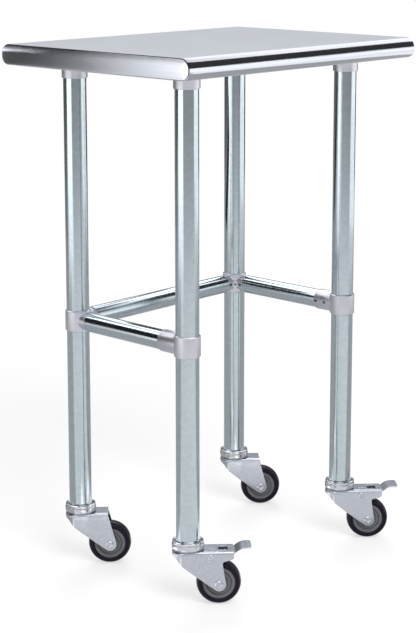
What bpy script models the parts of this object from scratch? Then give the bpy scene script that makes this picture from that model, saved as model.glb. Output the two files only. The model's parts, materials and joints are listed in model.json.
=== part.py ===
"""Open-base kitchen work table on casters.

A stainless top with rolled long edges stands on four tube legs. A brace on three sides is clamped to
the legs, so that it can be slid up and down them, and each leg ends in a swivel caster. The two front
casters have a foot brake. Metres, +Z up, floor at z = 0, origin under the middle of the top.
Front is -Y, the long side that the brace leaves open, and left is -X.
"""

from math import acos, asin, atan2, cos, hypot, pi, radians, sin, tan

import bmesh
import bpy
from mathutils import Matrix, Vector

# Clearances
GAP = 0.0003
SLIDE_GAP = 0.0004
WELD = 0.000001
OVERLAP = 0.0010

# Facets
TUBE_SIDES = 20
PIN_SIDES = 12
HOLE_SIDES = 8
WHEEL_SIDES = 24
ARC_STEPS = 4
SHARP_ANGLE = radians(32)

# Top
TOP_LENGTH = 0.6096
TOP_DEPTH = 0.4572
WORK_HEIGHT = 0.970
TOP_SHEET = 0.0012
EDGE_HEIGHT = 0.037
ROLL_RADIUS = 0.013
SIDE_RETURN = 0.032
END_RETURN = 0.014

# Stiffening channels
CHANNEL_SHEET = 0.0015
CHANNEL_WEB = 0.082
CHANNEL_BRIM = 0.014
CHANNEL_DEPTH = 0.022
CHANNEL_END_GAP = 0.012

# Legs and the sockets that hold their tops
LEG_INSET = 0.091
LEG_DIAMETER = 0.0413
LEG_WALL = 0.0012
SOCKET_WALL = 0.0021
SOCKET_LENGTH = 0.033
SOCKET_CHAMFER = 0.0012
FLANGE_SIDE = 0.076
FLANGE_CORNER = 0.012
FLANGE_THICKNESS = 0.004
FLANGE_HOLE = 0.0066
FLANGE_HOLE_INSET = 0.009
RIB_THICKNESS = 0.003
RIB_DROP = 0.012
RIB_EDGE_INSET = 0.004
INSERT_LENGTH = 0.040

# Brace
BRACE_HEIGHT = 0.4665
BAR_DIAMETER = 0.035
BAR_WALL = 0.0012
COLLAR_WALL = 0.0021
COLLAR_RIM = 0.002
COLLAR_CHAMFER = 0.0018
SPIGOT_SHOW = 0.011
SPIGOT_GRIP = 0.026
BAR_SOCKET_WALL = 0.0016
BAR_SOCKET_LENGTH = 0.032
BAR_SOCKET_FLOOR = 0.004
BAR_SOCKET_CHAMFER = 0.0008
BOSS_SIDE = 0.011
BOSS_PROUD = 0.0045

# Wheels
WHEEL_RADIUS = 0.040
TYRE_WIDTH = 0.028
TYRE_SHOULDER = 0.0065
TYRE_ROUND_STEPS = 6
TYRE_SEAT_WIDTH = 0.025
CORE_RADIUS = 0.0286
CORE_RIM_WIDTH = 0.0245
CORE_STEP_OUTER = 0.0226
CORE_STEP_INNER = 0.0198
CORE_DISC_WIDTH = 0.0195
HUB_RADIUS = 0.0115
HUB_FLARE = 0.0015
BUSH_WALL = 0.002
AXLE_DIAMETER = 0.008
AXLE_HEAD_RADIUS = 0.0078
AXLE_HEAD_HEIGHT = 0.0026

# Forks
TRAIL_ANGLE = radians(-45)
AXLE_TRAIL = 0.054
FORK_SHEET = 0.0025
CHEEK_CLEARANCE = 0.004
CROWN_CLEARANCE = 0.0205
FORK_BEND = 0.0020
FORK_BEND_STEPS = 2
FORK_CREASE = 0.013
CHEEK_END_RADIUS = 0.012
KNEE_TRAIL = -0.013
KNEE_DROP = 0.0175
NOSE_DROP = 0.0095
PLAIN_PLATE_END = 0.051
BRAKED_PLATE_END = 0.080
LOBE_DROP = 0.0135
LOBE_CORNER = 0.0055
LOBE_INNER_END = 0.0595
LOBE_INNER_DROP = 0.0195
LOBE_FILLET = 0.0045

# Swivels
STEM_DIAMETER = 0.012
STEM_SHORT_OF_INSERT = 0.003
STEM_HEAD_RADIUS = 0.0105
STEM_HEAD_HEIGHT = 0.004
RACE_WIDTH = 0.006
RACE_HEIGHT = 0.002
RACE_INSET = 0.0022
CUP_WALL = 0.0078
CUP_HEIGHT = 0.0147
CUP_FLOOR = 0.004
CUP_LIP = 0.0012
CUP_SHOULDER_DROP = 0.0052
CUP_EDGE = 0.0009
CUP_GROOVE_HEIGHT = 0.0034
CUP_GROOVE_DEPTH = 0.0008
HEAD_SETBACK = 0.0004

# Brakes
PIVOT_TRAIL = 0.040
PIVOT_DROP = 0.0097
PIVOT_DIAMETER = 0.006
PIVOT_HEAD_RADIUS = 0.0052
PIVOT_HEAD_HEIGHT = 0.0018
PEDAL_SHEET = 0.002
PEDAL_SIDE_GAP = 0.0007
PEDAL_PAD_WIDTH = 0.038
PEDAL_NECK_CLEARANCE = 0.002
PEDAL_ARM_RISE = 0.0036
PEDAL_STEP_START = 0.040
PEDAL_STEP_END = 0.050
PEDAL_PAD_RISE = 0.0140
PEDAL_TIP = 0.071
PEDAL_TIP_RISE = 0.0146
PEDAL_BEND = 0.006
PEDAL_CORNER = 0.007
PEDAL_EYE_WALL = 0.0022
SHOE_NEAR = 0.012
SHOE_FAR = 0.024
SHOE_WIDTH = 0.020
SHOE_CLEARANCE = 0.0046
SLOT_NEAR = 0.037
SLOT_FAR = 0.048
SLOT_WIDTH = 0.004
SLOT_OFFSET = 0.009
WINDOW_NEAR = 0.053
WINDOW_FAR = 0.070
WINDOW_WIDTH = 0.023

# Places worked out from the sizes above
LEG_X = TOP_LENGTH / 2 - LEG_INSET
LEG_Y = TOP_DEPTH / 2 - LEG_INSET
LEG_RADIUS = LEG_DIAMETER / 2
LEG_BORE = LEG_RADIUS - LEG_WALL
BAR_RADIUS = BAR_DIAMETER / 2
BAR_BORE = BAR_RADIUS - BAR_WALL
STEM_RADIUS = STEM_DIAMETER / 2
AXLE_RADIUS = AXLE_DIAMETER / 2
PIVOT_RADIUS = PIVOT_DIAMETER / 2

AXLE_HEIGHT = WHEEL_RADIUS * cos(pi / WHEEL_SIDES)
TREAD_TOP = AXLE_HEIGHT + WHEEL_RADIUS
FORK_TOP = TREAD_TOP + CROWN_CLEARANCE
FORK_UNDERSIDE = FORK_TOP - FORK_SHEET
FORK_INNER = TYRE_WIDTH + 2 * CHEEK_CLEARANCE
FORK_WIDTH = FORK_INNER + 2 * FORK_SHEET
CUP_RADIUS = LEG_RADIUS + CUP_WALL
HEAD_RADIUS = CUP_RADIUS - HEAD_SETBACK
RACE_LOW = FORK_TOP + GAP
CUP_LOW = RACE_LOW + RACE_HEIGHT + GAP
CUP_HIGH = CUP_LOW + CUP_HEIGHT
LEG_LOW = CUP_LOW + CUP_FLOOR + GAP
INSERT_HIGH = LEG_LOW + INSERT_LENGTH

PAN_UNDERSIDE = WORK_HEIGHT - TOP_SHEET
EDGE_LOW = WORK_HEIGHT - EDGE_HEIGHT
CHANNEL_HIGH = PAN_UNDERSIDE - GAP
CHANNEL_LOW = CHANNEL_HIGH - CHANNEL_DEPTH
FLANGE_HIGH = CHANNEL_LOW - GAP
FLANGE_LOW = FLANGE_HIGH - FLANGE_THICKNESS
SOCKET_LOW = FLANGE_LOW - SOCKET_LENGTH
SOCKET_RADIUS = LEG_RADIUS + GAP + SOCKET_WALL
LEG_HIGH = FLANGE_LOW - GAP

COLLAR_RADIUS = LEG_RADIUS + SLIDE_GAP + COLLAR_WALL
COLLAR_HALF = BAR_RADIUS + COLLAR_RIM
SPIGOT_END = COLLAR_RADIUS + SPIGOT_SHOW + SPIGOT_GRIP
BAR_START_ON_SPIGOT = COLLAR_RADIUS + SPIGOT_SHOW
BAR_START_IN_SOCKET = COLLAR_RADIUS + BAR_SOCKET_FLOOR + GAP

CORNERS = {"front_left": (-1, -1), "front_right": (1, -1), "rear_left": (-1, 1), "rear_right": (1, 1)}
BRAKED = ("front_left", "front_right")

STAINLESS = ("stainless steel", (0.60, 0.61, 0.63), 1.0, 0.24)
GALVANISED = ("galvanised steel", (0.52, 0.56, 0.59), 1.0, 0.38)
CAST_ALUMINIUM = ("cast aluminium", (0.49, 0.49, 0.53), 0.9, 0.48)
CHROME = ("chrome plate", (0.66, 0.67, 0.69), 1.0, 0.12)
ZINC = ("zinc plated steel", (0.50, 0.52, 0.56), 0.95, 0.36)
PLUG_PLASTIC = ("moulded plug", (0.05, 0.05, 0.055), 0.0, 0.55)
POLYURETHANE = ("cast polyurethane", (0.013, 0.010, 0.019), 0.0, 0.30)
CORE_PLASTIC = ("moulded core", (0.13, 0.13, 0.14), 0.0, 0.50)


# Outlines

def arc(centre, radius, start, end, steps):
    """Points along an arc from one angle to another, both ends included."""
    angles = [start + (end - start) * i / steps for i in range(steps + 1)]
    return [(centre[0] + radius * cos(a), centre[1] + radius * sin(a)) for a in angles]


def rounded(corners, closed=True):
    """Points round a polygon, or along a line, whose corners (x, y, radius) become arcs of that radius."""
    points = []
    for i, (x, y, radius) in enumerate(corners):
        here = Vector((x, y))
        is_end = not closed and i in (0, len(corners) - 1)
        if is_end or not radius:
            points.append((x, y))
            continue
        before = (Vector(corners[i - 1][:2]) - here).normalized()
        after = (Vector(corners[(i + 1) % len(corners)][:2]) - here).normalized()
        half = before.angle(after) / 2
        centre = here + (before + after).normalized() * radius / sin(half)
        first = here + before * radius / tan(half) - centre
        turn = before.angle_signed(after)
        sweep = (pi - 2 * half) * (1 if turn > 0 else -1)
        start = atan2(first.y, first.x)
        points += arc(centre, radius, start, start + sweep, ARC_STEPS)
    return points


def strip(path, thickness):
    """The outline of a bent sheet whose middle follows the path."""
    sides = ([], [])
    for i, point in enumerate(path):
        before = Vector(path[max(i - 1, 0)])
        after = Vector(path[min(i + 1, len(path) - 1)])
        across = (after - before).normalized().orthogonal() * thickness / 2
        for side, sign in zip(sides, (1, -1)):
            side.append(tuple(Vector(point) + across * sign))
    return sides[0] + sides[1][::-1]


def tangent_angle(point, centre, radius, side):
    """The angle on a circle where a line from the point touches it, on the side given as 1 or -1."""
    away = (point[0] - centre[0], point[1] - centre[1])
    return atan2(away[1], away[0]) + side * acos(radius / hypot(*away))


# Meshes

def finished_mesh(bm, name):
    """Welds, faces outwards and stores a bmesh."""
    bmesh.ops.remove_doubles(bm, verts=bm.verts, dist=WELD)
    bmesh.ops.recalc_face_normals(bm, faces=bm.faces)
    mesh = bpy.data.meshes.new(name)
    bm.to_mesh(mesh)
    bm.free()
    return mesh


def prism(outline, low, high, axis="Z", bend=0.0):
    """An outline extruded along an axis. A bend rounds the edges at the high end.

    The outline's two numbers are x and y for Z, y and z for X, and x and z for Y.
    """
    place = {
        "X": lambda u, v, along: (along, u, v),
        "Y": lambda u, v, along: (u, along, v),
        "Z": lambda u, v, along: (u, v, along),
    }[axis]
    bm = bmesh.new()
    base = bm.faces.new([bm.verts.new(place(u, v, low)) for u, v in outline])
    raised = bmesh.ops.extrude_face_region(bm, geom=[base])["geom"]
    moved = [v for v in raised if isinstance(v, bmesh.types.BMVert)]
    bmesh.ops.translate(bm, verts=moved, vec=place(0, 0, high - low))
    if bend:
        rim = [e for e in raised if isinstance(e, bmesh.types.BMEdge)]
        bmesh.ops.bevel(
            bm, geom=rim, offset=bend, offset_type="OFFSET", segments=FORK_BEND_STEPS, profile=0.5,
            affect="EDGES", clamp_overlap=True)
    return finished_mesh(bm, "prism")


def block(low, high):
    """A box between two corners."""
    outline = [(low[0], low[1]), (high[0], low[1]), (high[0], high[1]), (low[0], high[1])]
    return prism(outline, low[2], high[2])


def turned(profile, sides, on_axis=False):
    """A profile of (radius, height) points spun about Z. One that starts and ends on the axis is a solid."""
    bm = bmesh.new()
    verts = [bm.verts.new((radius, 0, height)) for radius, height in profile]
    ends = verts[1:] if on_axis else verts[1:] + verts[:1]
    edges = [bm.edges.new(pair) for pair in zip(verts, ends)]
    bmesh.ops.spin(
        bm, geom=verts + edges, cent=(0, 0, 0), axis=(0, 0, 1), dvec=(0, 0, 0), angle=2 * pi,
        steps=sides, use_merge=True)
    return finished_mesh(bm, "turned")


def rod(radius, low, high, sides):
    """A plain solid cylinder on Z."""
    return turned([(0, low), (radius, low), (radius, high), (0, high)], sides, on_axis=True)


def moved(mesh, *matrices):
    """The mesh with the matrices applied in order."""
    for matrix in matrices:
        mesh.transform(matrix)
    return mesh


def gathered(*meshes):
    """Several separate bodies in one mesh, for a cut or a join."""
    bm = bmesh.new()
    for mesh in meshes:
        bm.from_mesh(mesh)
    return finished_mesh(bm, "gathered")


def combined(base, *steps):
    """The base after Booleans in order, each step an operation and a mesh."""
    body = bpy.data.objects.new("body", base)
    bpy.context.collection.objects.link(body)
    tools = []
    for operation, mesh in steps:
        tool = bpy.data.objects.new("tool", mesh)
        tool.hide_render = True
        tool.display_type = "WIRE"
        bpy.context.collection.objects.link(tool)
        boolean = body.modifiers.new(operation.lower(), "BOOLEAN")
        boolean.operation = operation
        boolean.solver = "EXACT"
        boolean.object = tool
        tools.append(tool)
    graph = bpy.context.evaluated_depsgraph_get()
    mesh = bpy.data.meshes.new_from_object(body.evaluated_get(graph))
    for obj in [body, *tools]:
        bpy.data.objects.remove(obj, do_unlink=True)
    return mesh


def lying(mesh):
    """Turns a mesh made about Z so that its axis lies along Y."""
    return moved(mesh, Matrix.Rotation(pi / 2, 4, "X"))


# Scene

def material(finish):
    """The Principled material of a finish, made once."""
    name, colour, metallic, roughness = finish
    found = bpy.data.materials.get(name)
    if found:
        return found
    made = bpy.data.materials.new(name)
    made.use_nodes = True
    shader = made.node_tree.nodes["Principled BSDF"]
    shader.inputs["Base Color"].default_value = (*colour, 1.0)
    shader.inputs["Metallic"].default_value = metallic
    shader.inputs["Roughness"].default_value = roughness
    return made


def piece(name, mesh, finish, parent=None, location=(0, 0, 0), turn=0.0):
    """One named part of the table."""
    if not mesh.materials:
        mesh.materials.append(material(finish))
        mesh.shade_smooth()
        mesh.set_sharp_from_angle(angle=SHARP_ANGLE)
    obj = bpy.data.objects.new(name, mesh)
    obj.location = location
    obj.rotation_euler = (0, 0, turn)
    obj.parent = parent
    bpy.context.collection.objects.link(obj)
    return obj


def axis_empty(name, location, turn=0.0, parent=None):
    """An empty on the axis that moving pieces hang from."""
    empty = bpy.data.objects.new(name, None)
    empty.location = location
    empty.rotation_euler = (0, 0, turn)
    empty.parent = parent
    bpy.context.collection.objects.link(empty)
    return empty


def clear_scene():
    """Removes whatever the file holds."""
    for obj in list(bpy.data.objects):
        bpy.data.objects.remove(obj, do_unlink=True)


# Top

def edge_outline(inset):
    """The top's cross-section from the end, rolled at both long edges, drawn in by an inset."""
    half = TOP_DEPTH / 2 - inset
    high = WORK_HEIGHT - inset
    low = EDGE_LOW + inset
    radius = min(ROLL_RADIUS, EDGE_HEIGHT / 2 - OVERLAP) - inset
    corners = [(half, high, radius), (-half, high, radius), (-half, low, radius), (half, low, radius)]
    return rounded(corners)


def tabletop_mesh():
    """The bent sheet: a hollow rolled section, closed at both ends, open underneath."""
    half = TOP_LENGTH / 2
    skin = prism(edge_outline(0), -half, half, "X")
    inside = prism(edge_outline(TOP_SHEET), -half + TOP_SHEET, half - TOP_SHEET, "X")
    reach_x = half - END_RETURN
    reach_y = TOP_DEPTH / 2 - SIDE_RETURN
    opening = block(
        (-reach_x, -reach_y, EDGE_LOW - OVERLAP), (reach_x, reach_y, EDGE_LOW + TOP_SHEET + OVERLAP))
    return combined(skin, ("DIFFERENCE", inside), ("DIFFERENCE", opening))


def channel_mesh():
    """A hat-section stiffener, brims up against the sheet."""
    web = CHANNEL_WEB / 2
    wall = web - CHANNEL_SHEET
    brim = web + CHANNEL_BRIM
    right = [(wall, CHANNEL_HIGH), (brim, CHANNEL_HIGH), (brim, CHANNEL_HIGH - CHANNEL_SHEET)]
    right += [(web, CHANNEL_HIGH - CHANNEL_SHEET), (web, CHANNEL_LOW)]
    inner = [(-wall, CHANNEL_LOW + CHANNEL_SHEET), (wall, CHANNEL_LOW + CHANNEL_SHEET)]
    left = [(-y, z) for y, z in reversed(right)]
    half = TOP_LENGTH / 2 - TOP_SHEET - CHANNEL_END_GAP
    return prism(right + left + inner, -half, half, "X")


def build_top():
    """The sheet and its two stiffeners."""
    piece("tabletop", tabletop_mesh(), STAINLESS)
    channel = channel_mesh()
    piece("channel_front", channel, GALVANISED, location=(0, -LEG_Y, 0))
    piece("channel_rear", channel, GALVANISED, location=(0, LEG_Y, 0))


# Legs

def leg_socket_mesh():
    """A cast socket: square flange, round bore for the leg and four ribs between them."""
    bore = LEG_RADIUS + GAP
    barrel = turned(
        [
            (bore, SOCKET_LOW),
            (SOCKET_RADIUS - SOCKET_CHAMFER, SOCKET_LOW),
            (SOCKET_RADIUS, SOCKET_LOW + SOCKET_CHAMFER),
            (SOCKET_RADIUS, FLANGE_LOW + OVERLAP),
            (bore, FLANGE_LOW + OVERLAP),
        ],
        TUBE_SIDES,
    )
    half = FLANGE_SIDE / 2
    corners = [(x * half, y * half, FLANGE_CORNER) for x, y in ((1, 1), (-1, 1), (-1, -1), (1, -1))]
    flange = prism(rounded(corners), FLANGE_LOW, FLANGE_HIGH)
    inner = SOCKET_RADIUS - SOCKET_WALL / 2
    outer = half - RIB_EDGE_INSET
    rib_outline = [(inner, FLANGE_LOW + OVERLAP), (outer, FLANGE_LOW + OVERLAP), (outer, FLANGE_LOW)]
    rib_outline += [(SOCKET_RADIUS, FLANGE_LOW - RIB_DROP), (inner, FLANGE_LOW - RIB_DROP)]
    ribs = [
        moved(
            prism(rib_outline, -RIB_THICKNESS / 2, RIB_THICKNESS / 2, "Y"),
            Matrix.Rotation(quarter * pi / 2, 4, "Z"))
        for quarter in range(4)
    ]
    reach = half - FLANGE_HOLE_INSET
    holes = [
        moved(
            rod(FLANGE_HOLE / 2, FLANGE_LOW - OVERLAP, FLANGE_HIGH + OVERLAP, HOLE_SIDES),
            Matrix.Translation((x * reach, y * reach, 0)))
        for x, y in CORNERS.values()
    ]
    return combined(
        barrel, ("UNION", flange), ("UNION", gathered(*ribs)), ("DIFFERENCE", gathered(*holes)))


def leg_mesh():
    """The leg tube, from the caster cup's floor to the socket's flange."""
    profile = [(LEG_BORE, LEG_LOW), (LEG_RADIUS, LEG_LOW), (LEG_RADIUS, LEG_HIGH), (LEG_BORE, LEG_HIGH)]
    return turned(profile, TUBE_SIDES)


def leg_insert_mesh():
    """The plug in the tube's bottom end, bored for the caster's stem."""
    bore = STEM_RADIUS + GAP
    outer = LEG_BORE - GAP
    profile = [(bore, LEG_LOW), (outer, LEG_LOW), (outer, INSERT_HIGH), (bore, INSERT_HIGH)]
    return turned(profile, PIN_SIDES)


def build_legs():
    """Four legs with their sockets and plugs."""
    socket, leg, insert = leg_socket_mesh(), leg_mesh(), leg_insert_mesh()
    for corner, (x, y) in CORNERS.items():
        place = (x * LEG_X, y * LEG_Y, 0)
        piece(f"leg_socket_{corner}", socket, CAST_ALUMINIUM, location=place)
        piece(f"leg_{corner}", leg, GALVANISED, location=place)
        piece(f"leg_insert_{corner}", insert, PLUG_PLASTIC, location=place)


# Brace, made about the crossing of the leg's axis and the bars' axes

def collar_mesh():
    """A cast collar, still solid: the leg's bore is cut last."""
    inner = COLLAR_RADIUS - COLLAR_CHAMFER
    chamfer = COLLAR_HALF - COLLAR_CHAMFER
    half = [(COLLAR_RADIUS, chamfer), (inner, COLLAR_HALF), (0, COLLAR_HALF)]
    profile = [(radius, -height) for radius, height in reversed(half)] + half
    return turned(profile, TUBE_SIDES, on_axis=True)


def collar_bore():
    """What the leg takes out of a collar."""
    return rod(LEG_RADIUS + SLIDE_GAP, -COLLAR_HALF - OVERLAP, COLLAR_HALF + OVERLAP, TUBE_SIDES)


def spigot_mesh(turn):
    """A round spigot that goes out from the leg's axis at an angle and into a bar."""
    along_x = Matrix.Rotation(pi / 2, 4, "Y")
    return moved(rod(BAR_BORE - GAP, 0, SPIGOT_END, TUBE_SIDES), along_x, Matrix.Rotation(turn, 4, "Z"))


def brace_corner_mesh(inward_x):
    """A rear fitting: a collar, a spigot for each bar and a square boss for the clamp screw between them."""
    to_rear_bar = 0.0 if inward_x > 0 else pi
    to_side_bar = -pi / 2
    reach = COLLAR_RADIUS + BOSS_PROUD
    boss = moved(
        block((LEG_RADIUS, -BOSS_SIDE / 2, -BOSS_SIDE / 2), (reach, BOSS_SIDE / 2, BOSS_SIDE / 2)),
        Matrix.Rotation(atan2(-1, inward_x), 4, "Z"))
    return combined(
        collar_mesh(), ("UNION", spigot_mesh(to_rear_bar)), ("UNION", spigot_mesh(to_side_bar)),
        ("UNION", boss), ("DIFFERENCE", collar_bore()))


def brace_end_mesh():
    """A front fitting: a collar with a socket that the side bar goes into."""
    outer = BAR_RADIUS + GAP + BAR_SOCKET_WALL
    mouth = COLLAR_RADIUS + BAR_SOCKET_LENGTH
    to_bar = Matrix.Rotation(-pi / 2, 4, "X")
    lip = outer - BAR_SOCKET_CHAMFER
    barrel = [(0, 0), (outer, 0), (outer, mouth - BAR_SOCKET_CHAMFER), (lip, mouth), (0, mouth)]
    socket = turned(barrel, TUBE_SIDES, on_axis=True)
    bore = rod(BAR_RADIUS + GAP, COLLAR_RADIUS + BAR_SOCKET_FLOOR, mouth + OVERLAP, TUBE_SIDES)
    return combined(
        collar_mesh(), ("UNION", moved(socket, to_bar)), ("DIFFERENCE", moved(bore, to_bar)),
        ("DIFFERENCE", collar_bore()))


def bar_mesh(low, high, axis):
    """A brace bar along X or Y."""
    profile = [(BAR_BORE, low), (BAR_RADIUS, low), (BAR_RADIUS, high), (BAR_BORE, high)]
    turn = Matrix.Rotation(pi / 2, 4, "Y") if axis == "X" else Matrix.Rotation(-pi / 2, 4, "X")
    return moved(turned(profile, TUBE_SIDES), turn)


def build_brace():
    """Three bars and four fittings that slide on the legs as one."""
    slide = axis_empty("brace_slide", (0, 0, BRACE_HEIGHT))
    rear_half = LEG_X - BAR_START_ON_SPIGOT
    rear = bar_mesh(-rear_half, rear_half, "X")
    side = bar_mesh(-LEG_Y + BAR_START_IN_SOCKET, LEG_Y - BAR_START_ON_SPIGOT, "Y")
    end = brace_end_mesh()
    piece("brace_bar_rear", rear, GALVANISED, slide, (0, LEG_Y, 0))
    for side_name, x in (("left", -1), ("right", 1)):
        piece(f"brace_bar_{side_name}", side, GALVANISED, slide, (x * LEG_X, 0, 0))
        piece(f"brace_end_front_{side_name}", end, CAST_ALUMINIUM, slide, (x * LEG_X, -LEG_Y, 0))
        corner = brace_corner_mesh(-x)
        piece(f"brace_corner_rear_{side_name}", corner, CAST_ALUMINIUM, slide, (x * LEG_X, LEG_Y, 0))


# Swivels, made about the leg's axis with z from the floor

def caster_cup_mesh():
    """The plated cup: seats the leg's end, roofs the ball race, with a sloping shoulder and one groove."""
    stem = STEM_RADIUS + GAP
    seat = LEG_RADIUS + GAP
    groove = CUP_LOW + CUP_GROOVE_HEIGHT
    return turned(
        [
            (stem, CUP_LOW),
            (CUP_RADIUS - CUP_EDGE, CUP_LOW),
            (CUP_RADIUS, groove - CUP_GROOVE_DEPTH),
            (CUP_RADIUS - CUP_GROOVE_DEPTH, groove),
            (CUP_RADIUS, groove + CUP_GROOVE_DEPTH),
            (CUP_RADIUS, CUP_HIGH - CUP_SHOULDER_DROP),
            (CUP_RADIUS - CUP_EDGE, CUP_HIGH - CUP_SHOULDER_DROP + CUP_EDGE),
            (seat + CUP_LIP, CUP_HIGH),
            (seat, CUP_HIGH),
            (seat, CUP_LOW + CUP_FLOOR),
            (stem, CUP_LOW + CUP_FLOOR),
        ],
        TUBE_SIDES,
    )


def caster_stem_mesh():
    """The king pin: riveted head under the fork, shank up through the cup into the plug."""
    head_high = FORK_UNDERSIDE - GAP
    head_low = head_high - STEM_HEAD_HEIGHT
    top = INSERT_HIGH - STEM_SHORT_OF_INSERT
    head = [(0, head_low), (STEM_HEAD_RADIUS, head_low), (STEM_HEAD_RADIUS, head_high)]
    shank = [(STEM_RADIUS, head_high), (STEM_RADIUS, top), (0, top)]
    return turned(head + shank, PIN_SIDES, on_axis=True)


def ball_race_mesh():
    """The ring of the ball race, between the fork's head and the cup."""
    outer = CUP_RADIUS - RACE_INSET
    inner = outer - RACE_WIDTH
    high = RACE_LOW + RACE_HEIGHT
    return turned([(inner, RACE_LOW), (outer, RACE_LOW), (outer, high), (inner, high)], PIN_SIDES)


# Forks, made with x as the distance behind the leg's axis

def fork_plan(inset, rear):
    """A fork from above: a round nose, a short taper on each side, then parallel cheeks."""
    radius = HEAD_RADIUS - inset
    half = FORK_WIDTH / 2 - inset
    crease = pi / 2 + asin(FORK_CREASE / HEAD_RADIUS)
    nose = arc((0, 0), radius, crease, 2 * pi - crease, 2 * ARC_STEPS)
    return nose + [(FORK_CREASE, -half), (rear, -half), (rear, half), (FORK_CREASE, half)]


def cheek_outline(braked):
    """A fork from the side: top plate, rear edge, round end about the axle and the raked front edge."""
    axle = (AXLE_TRAIL, AXLE_HEIGHT)
    knee = (KNEE_TRAIL, FORK_TOP - KNEE_DROP)
    above = FORK_TOP + OVERLAP
    ahead = -HEAD_RADIUS - OVERLAP
    if braked:
        rear = rounded(
            [
                (ahead, above, 0),
                (BRAKED_PLATE_END, above, 0),
                (BRAKED_PLATE_END, FORK_TOP - LOBE_DROP, LOBE_CORNER),
                (LOBE_INNER_END, FORK_TOP - LOBE_INNER_DROP, LOBE_FILLET),
                (axle[0] + CHEEK_END_RADIUS, axle[1], 0),
            ],
            closed=False,
        )[1:-1]
    else:
        rear = [(PLAIN_PLATE_END, above)]
    start = tangent_angle(rear[-1], axle, CHEEK_END_RADIUS, -1)
    end = tangent_angle(knee, axle, CHEEK_END_RADIUS, 1)
    foot = arc(axle, CHEEK_END_RADIUS, start, end - 2 * pi if end > start else end, 2 * ARC_STEPS)
    return [(ahead, above), *rear, *foot, knee, (ahead, FORK_TOP - NOSE_DROP)]


def fork_mesh(braked):
    """A stamped fork: a bent shell trimmed to its side outline and pierced for the pins."""
    reach = BRAKED_PLATE_END + FORK_WIDTH
    floor = AXLE_HEIGHT - CHEEK_END_RADIUS - OVERLAP
    wide = FORK_WIDTH / 2 + HEAD_RADIUS
    shell = prism(fork_plan(0, reach), floor, FORK_TOP, bend=FORK_BEND)
    inside = prism(fork_plan(FORK_SHEET, reach + FORK_WIDTH), floor - OVERLAP, FORK_UNDERSIDE)
    trim = prism(cheek_outline(braked), -wide, wide, "Y")
    pin_hole = rod(STEM_RADIUS + GAP, FORK_UNDERSIDE - OVERLAP, FORK_TOP + OVERLAP, PIN_SIDES)
    axle_hole = moved(
        lying(rod(AXLE_RADIUS + GAP, -wide, wide, PIN_SIDES)),
        Matrix.Translation((AXLE_TRAIL, 0, AXLE_HEIGHT)))
    holes = [pin_hole, axle_hole]
    if braked:
        low, high = FORK_UNDERSIDE - OVERLAP, FORK_TOP + OVERLAP
        holes += [
            moved(
                lying(rod(PIVOT_RADIUS + GAP, -wide, wide, PIN_SIDES)),
                Matrix.Translation((PIVOT_TRAIL, 0, FORK_TOP - PIVOT_DROP))),
            block(
                (SLOT_NEAR, -SLOT_OFFSET - SLOT_WIDTH / 2, low),
                (SLOT_FAR, -SLOT_OFFSET + SLOT_WIDTH / 2, high)),
            block((WINDOW_NEAR, -WINDOW_WIDTH / 2, low), (WINDOW_FAR, WINDOW_WIDTH / 2, high)),
        ]
    return combined(
        shell, ("DIFFERENCE", inside), ("INTERSECT", trim), ("DIFFERENCE", gathered(*holes)))


def rivet_mesh(radius, head_radius, head_height):
    """A rivet across the fork, with a low domed head outside each cheek."""
    seat = FORK_WIDTH / 2 + GAP
    dome = [
        (head_radius * cos(a), seat + head_height * sin(a))
        for a in (pi / 2 * i / (ARC_STEPS // 2) for i in range(ARC_STEPS // 2))
    ]
    half = [(radius, seat), *dome, (0, seat + head_height)]
    profile = [(r, -h) for r, h in reversed(half)] + half
    return lying(turned(profile, PIN_SIDES, on_axis=True))


# Wheels, made about the axle, which lies along Y

def tyre_mesh():
    """A crowned tyre: a flat seat on the core, short walls and a half-ellipse over the tread."""
    seat = CORE_RADIUS + GAP
    wall = WHEEL_RADIUS - TYRE_SHOULDER
    steps = TYRE_ROUND_STEPS
    crown = [
        (wall + TYRE_SHOULDER * sin(a), TYRE_WIDTH / 2 * cos(a))
        for a in (pi * i / steps for i in range(steps + 1))
    ]
    half_turn_of_facet = Matrix.Rotation(pi / 2 + pi / WHEEL_SIDES, 4, "Z")
    profile = [(seat, -TYRE_SEAT_WIDTH / 2), (seat, TYRE_SEAT_WIDTH / 2), *crown]
    return lying(moved(turned(profile, WHEEL_SIDES), half_turn_of_facet))


def wheel_core_mesh():
    """The moulded core: rim, a stepped disc and a hub boss, alike on both sides."""
    half = [
        (CORE_RADIUS, CORE_RIM_WIDTH / 2),
        (CORE_STEP_OUTER, CORE_RIM_WIDTH / 2),
        (CORE_STEP_INNER, CORE_DISC_WIDTH / 2),
        (HUB_RADIUS + HUB_FLARE, CORE_DISC_WIDTH / 2),
        (HUB_RADIUS, TYRE_WIDTH / 2),
        (AXLE_RADIUS + GAP + BUSH_WALL + GAP, TYRE_WIDTH / 2),
    ]
    profile = half + [(radius, -height) for radius, height in reversed(half)]
    return lying(turned(profile, TUBE_SIDES))


def wheel_bush_mesh():
    """The steel sleeve between the cheeks that the wheel turns on."""
    inner = AXLE_RADIUS + GAP
    outer = inner + BUSH_WALL
    half = FORK_INNER / 2 - GAP
    return lying(turned([(inner, -half), (outer, -half), (outer, half), (inner, half)], PIN_SIDES))


# Brakes, made about the pedal's pivot

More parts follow.
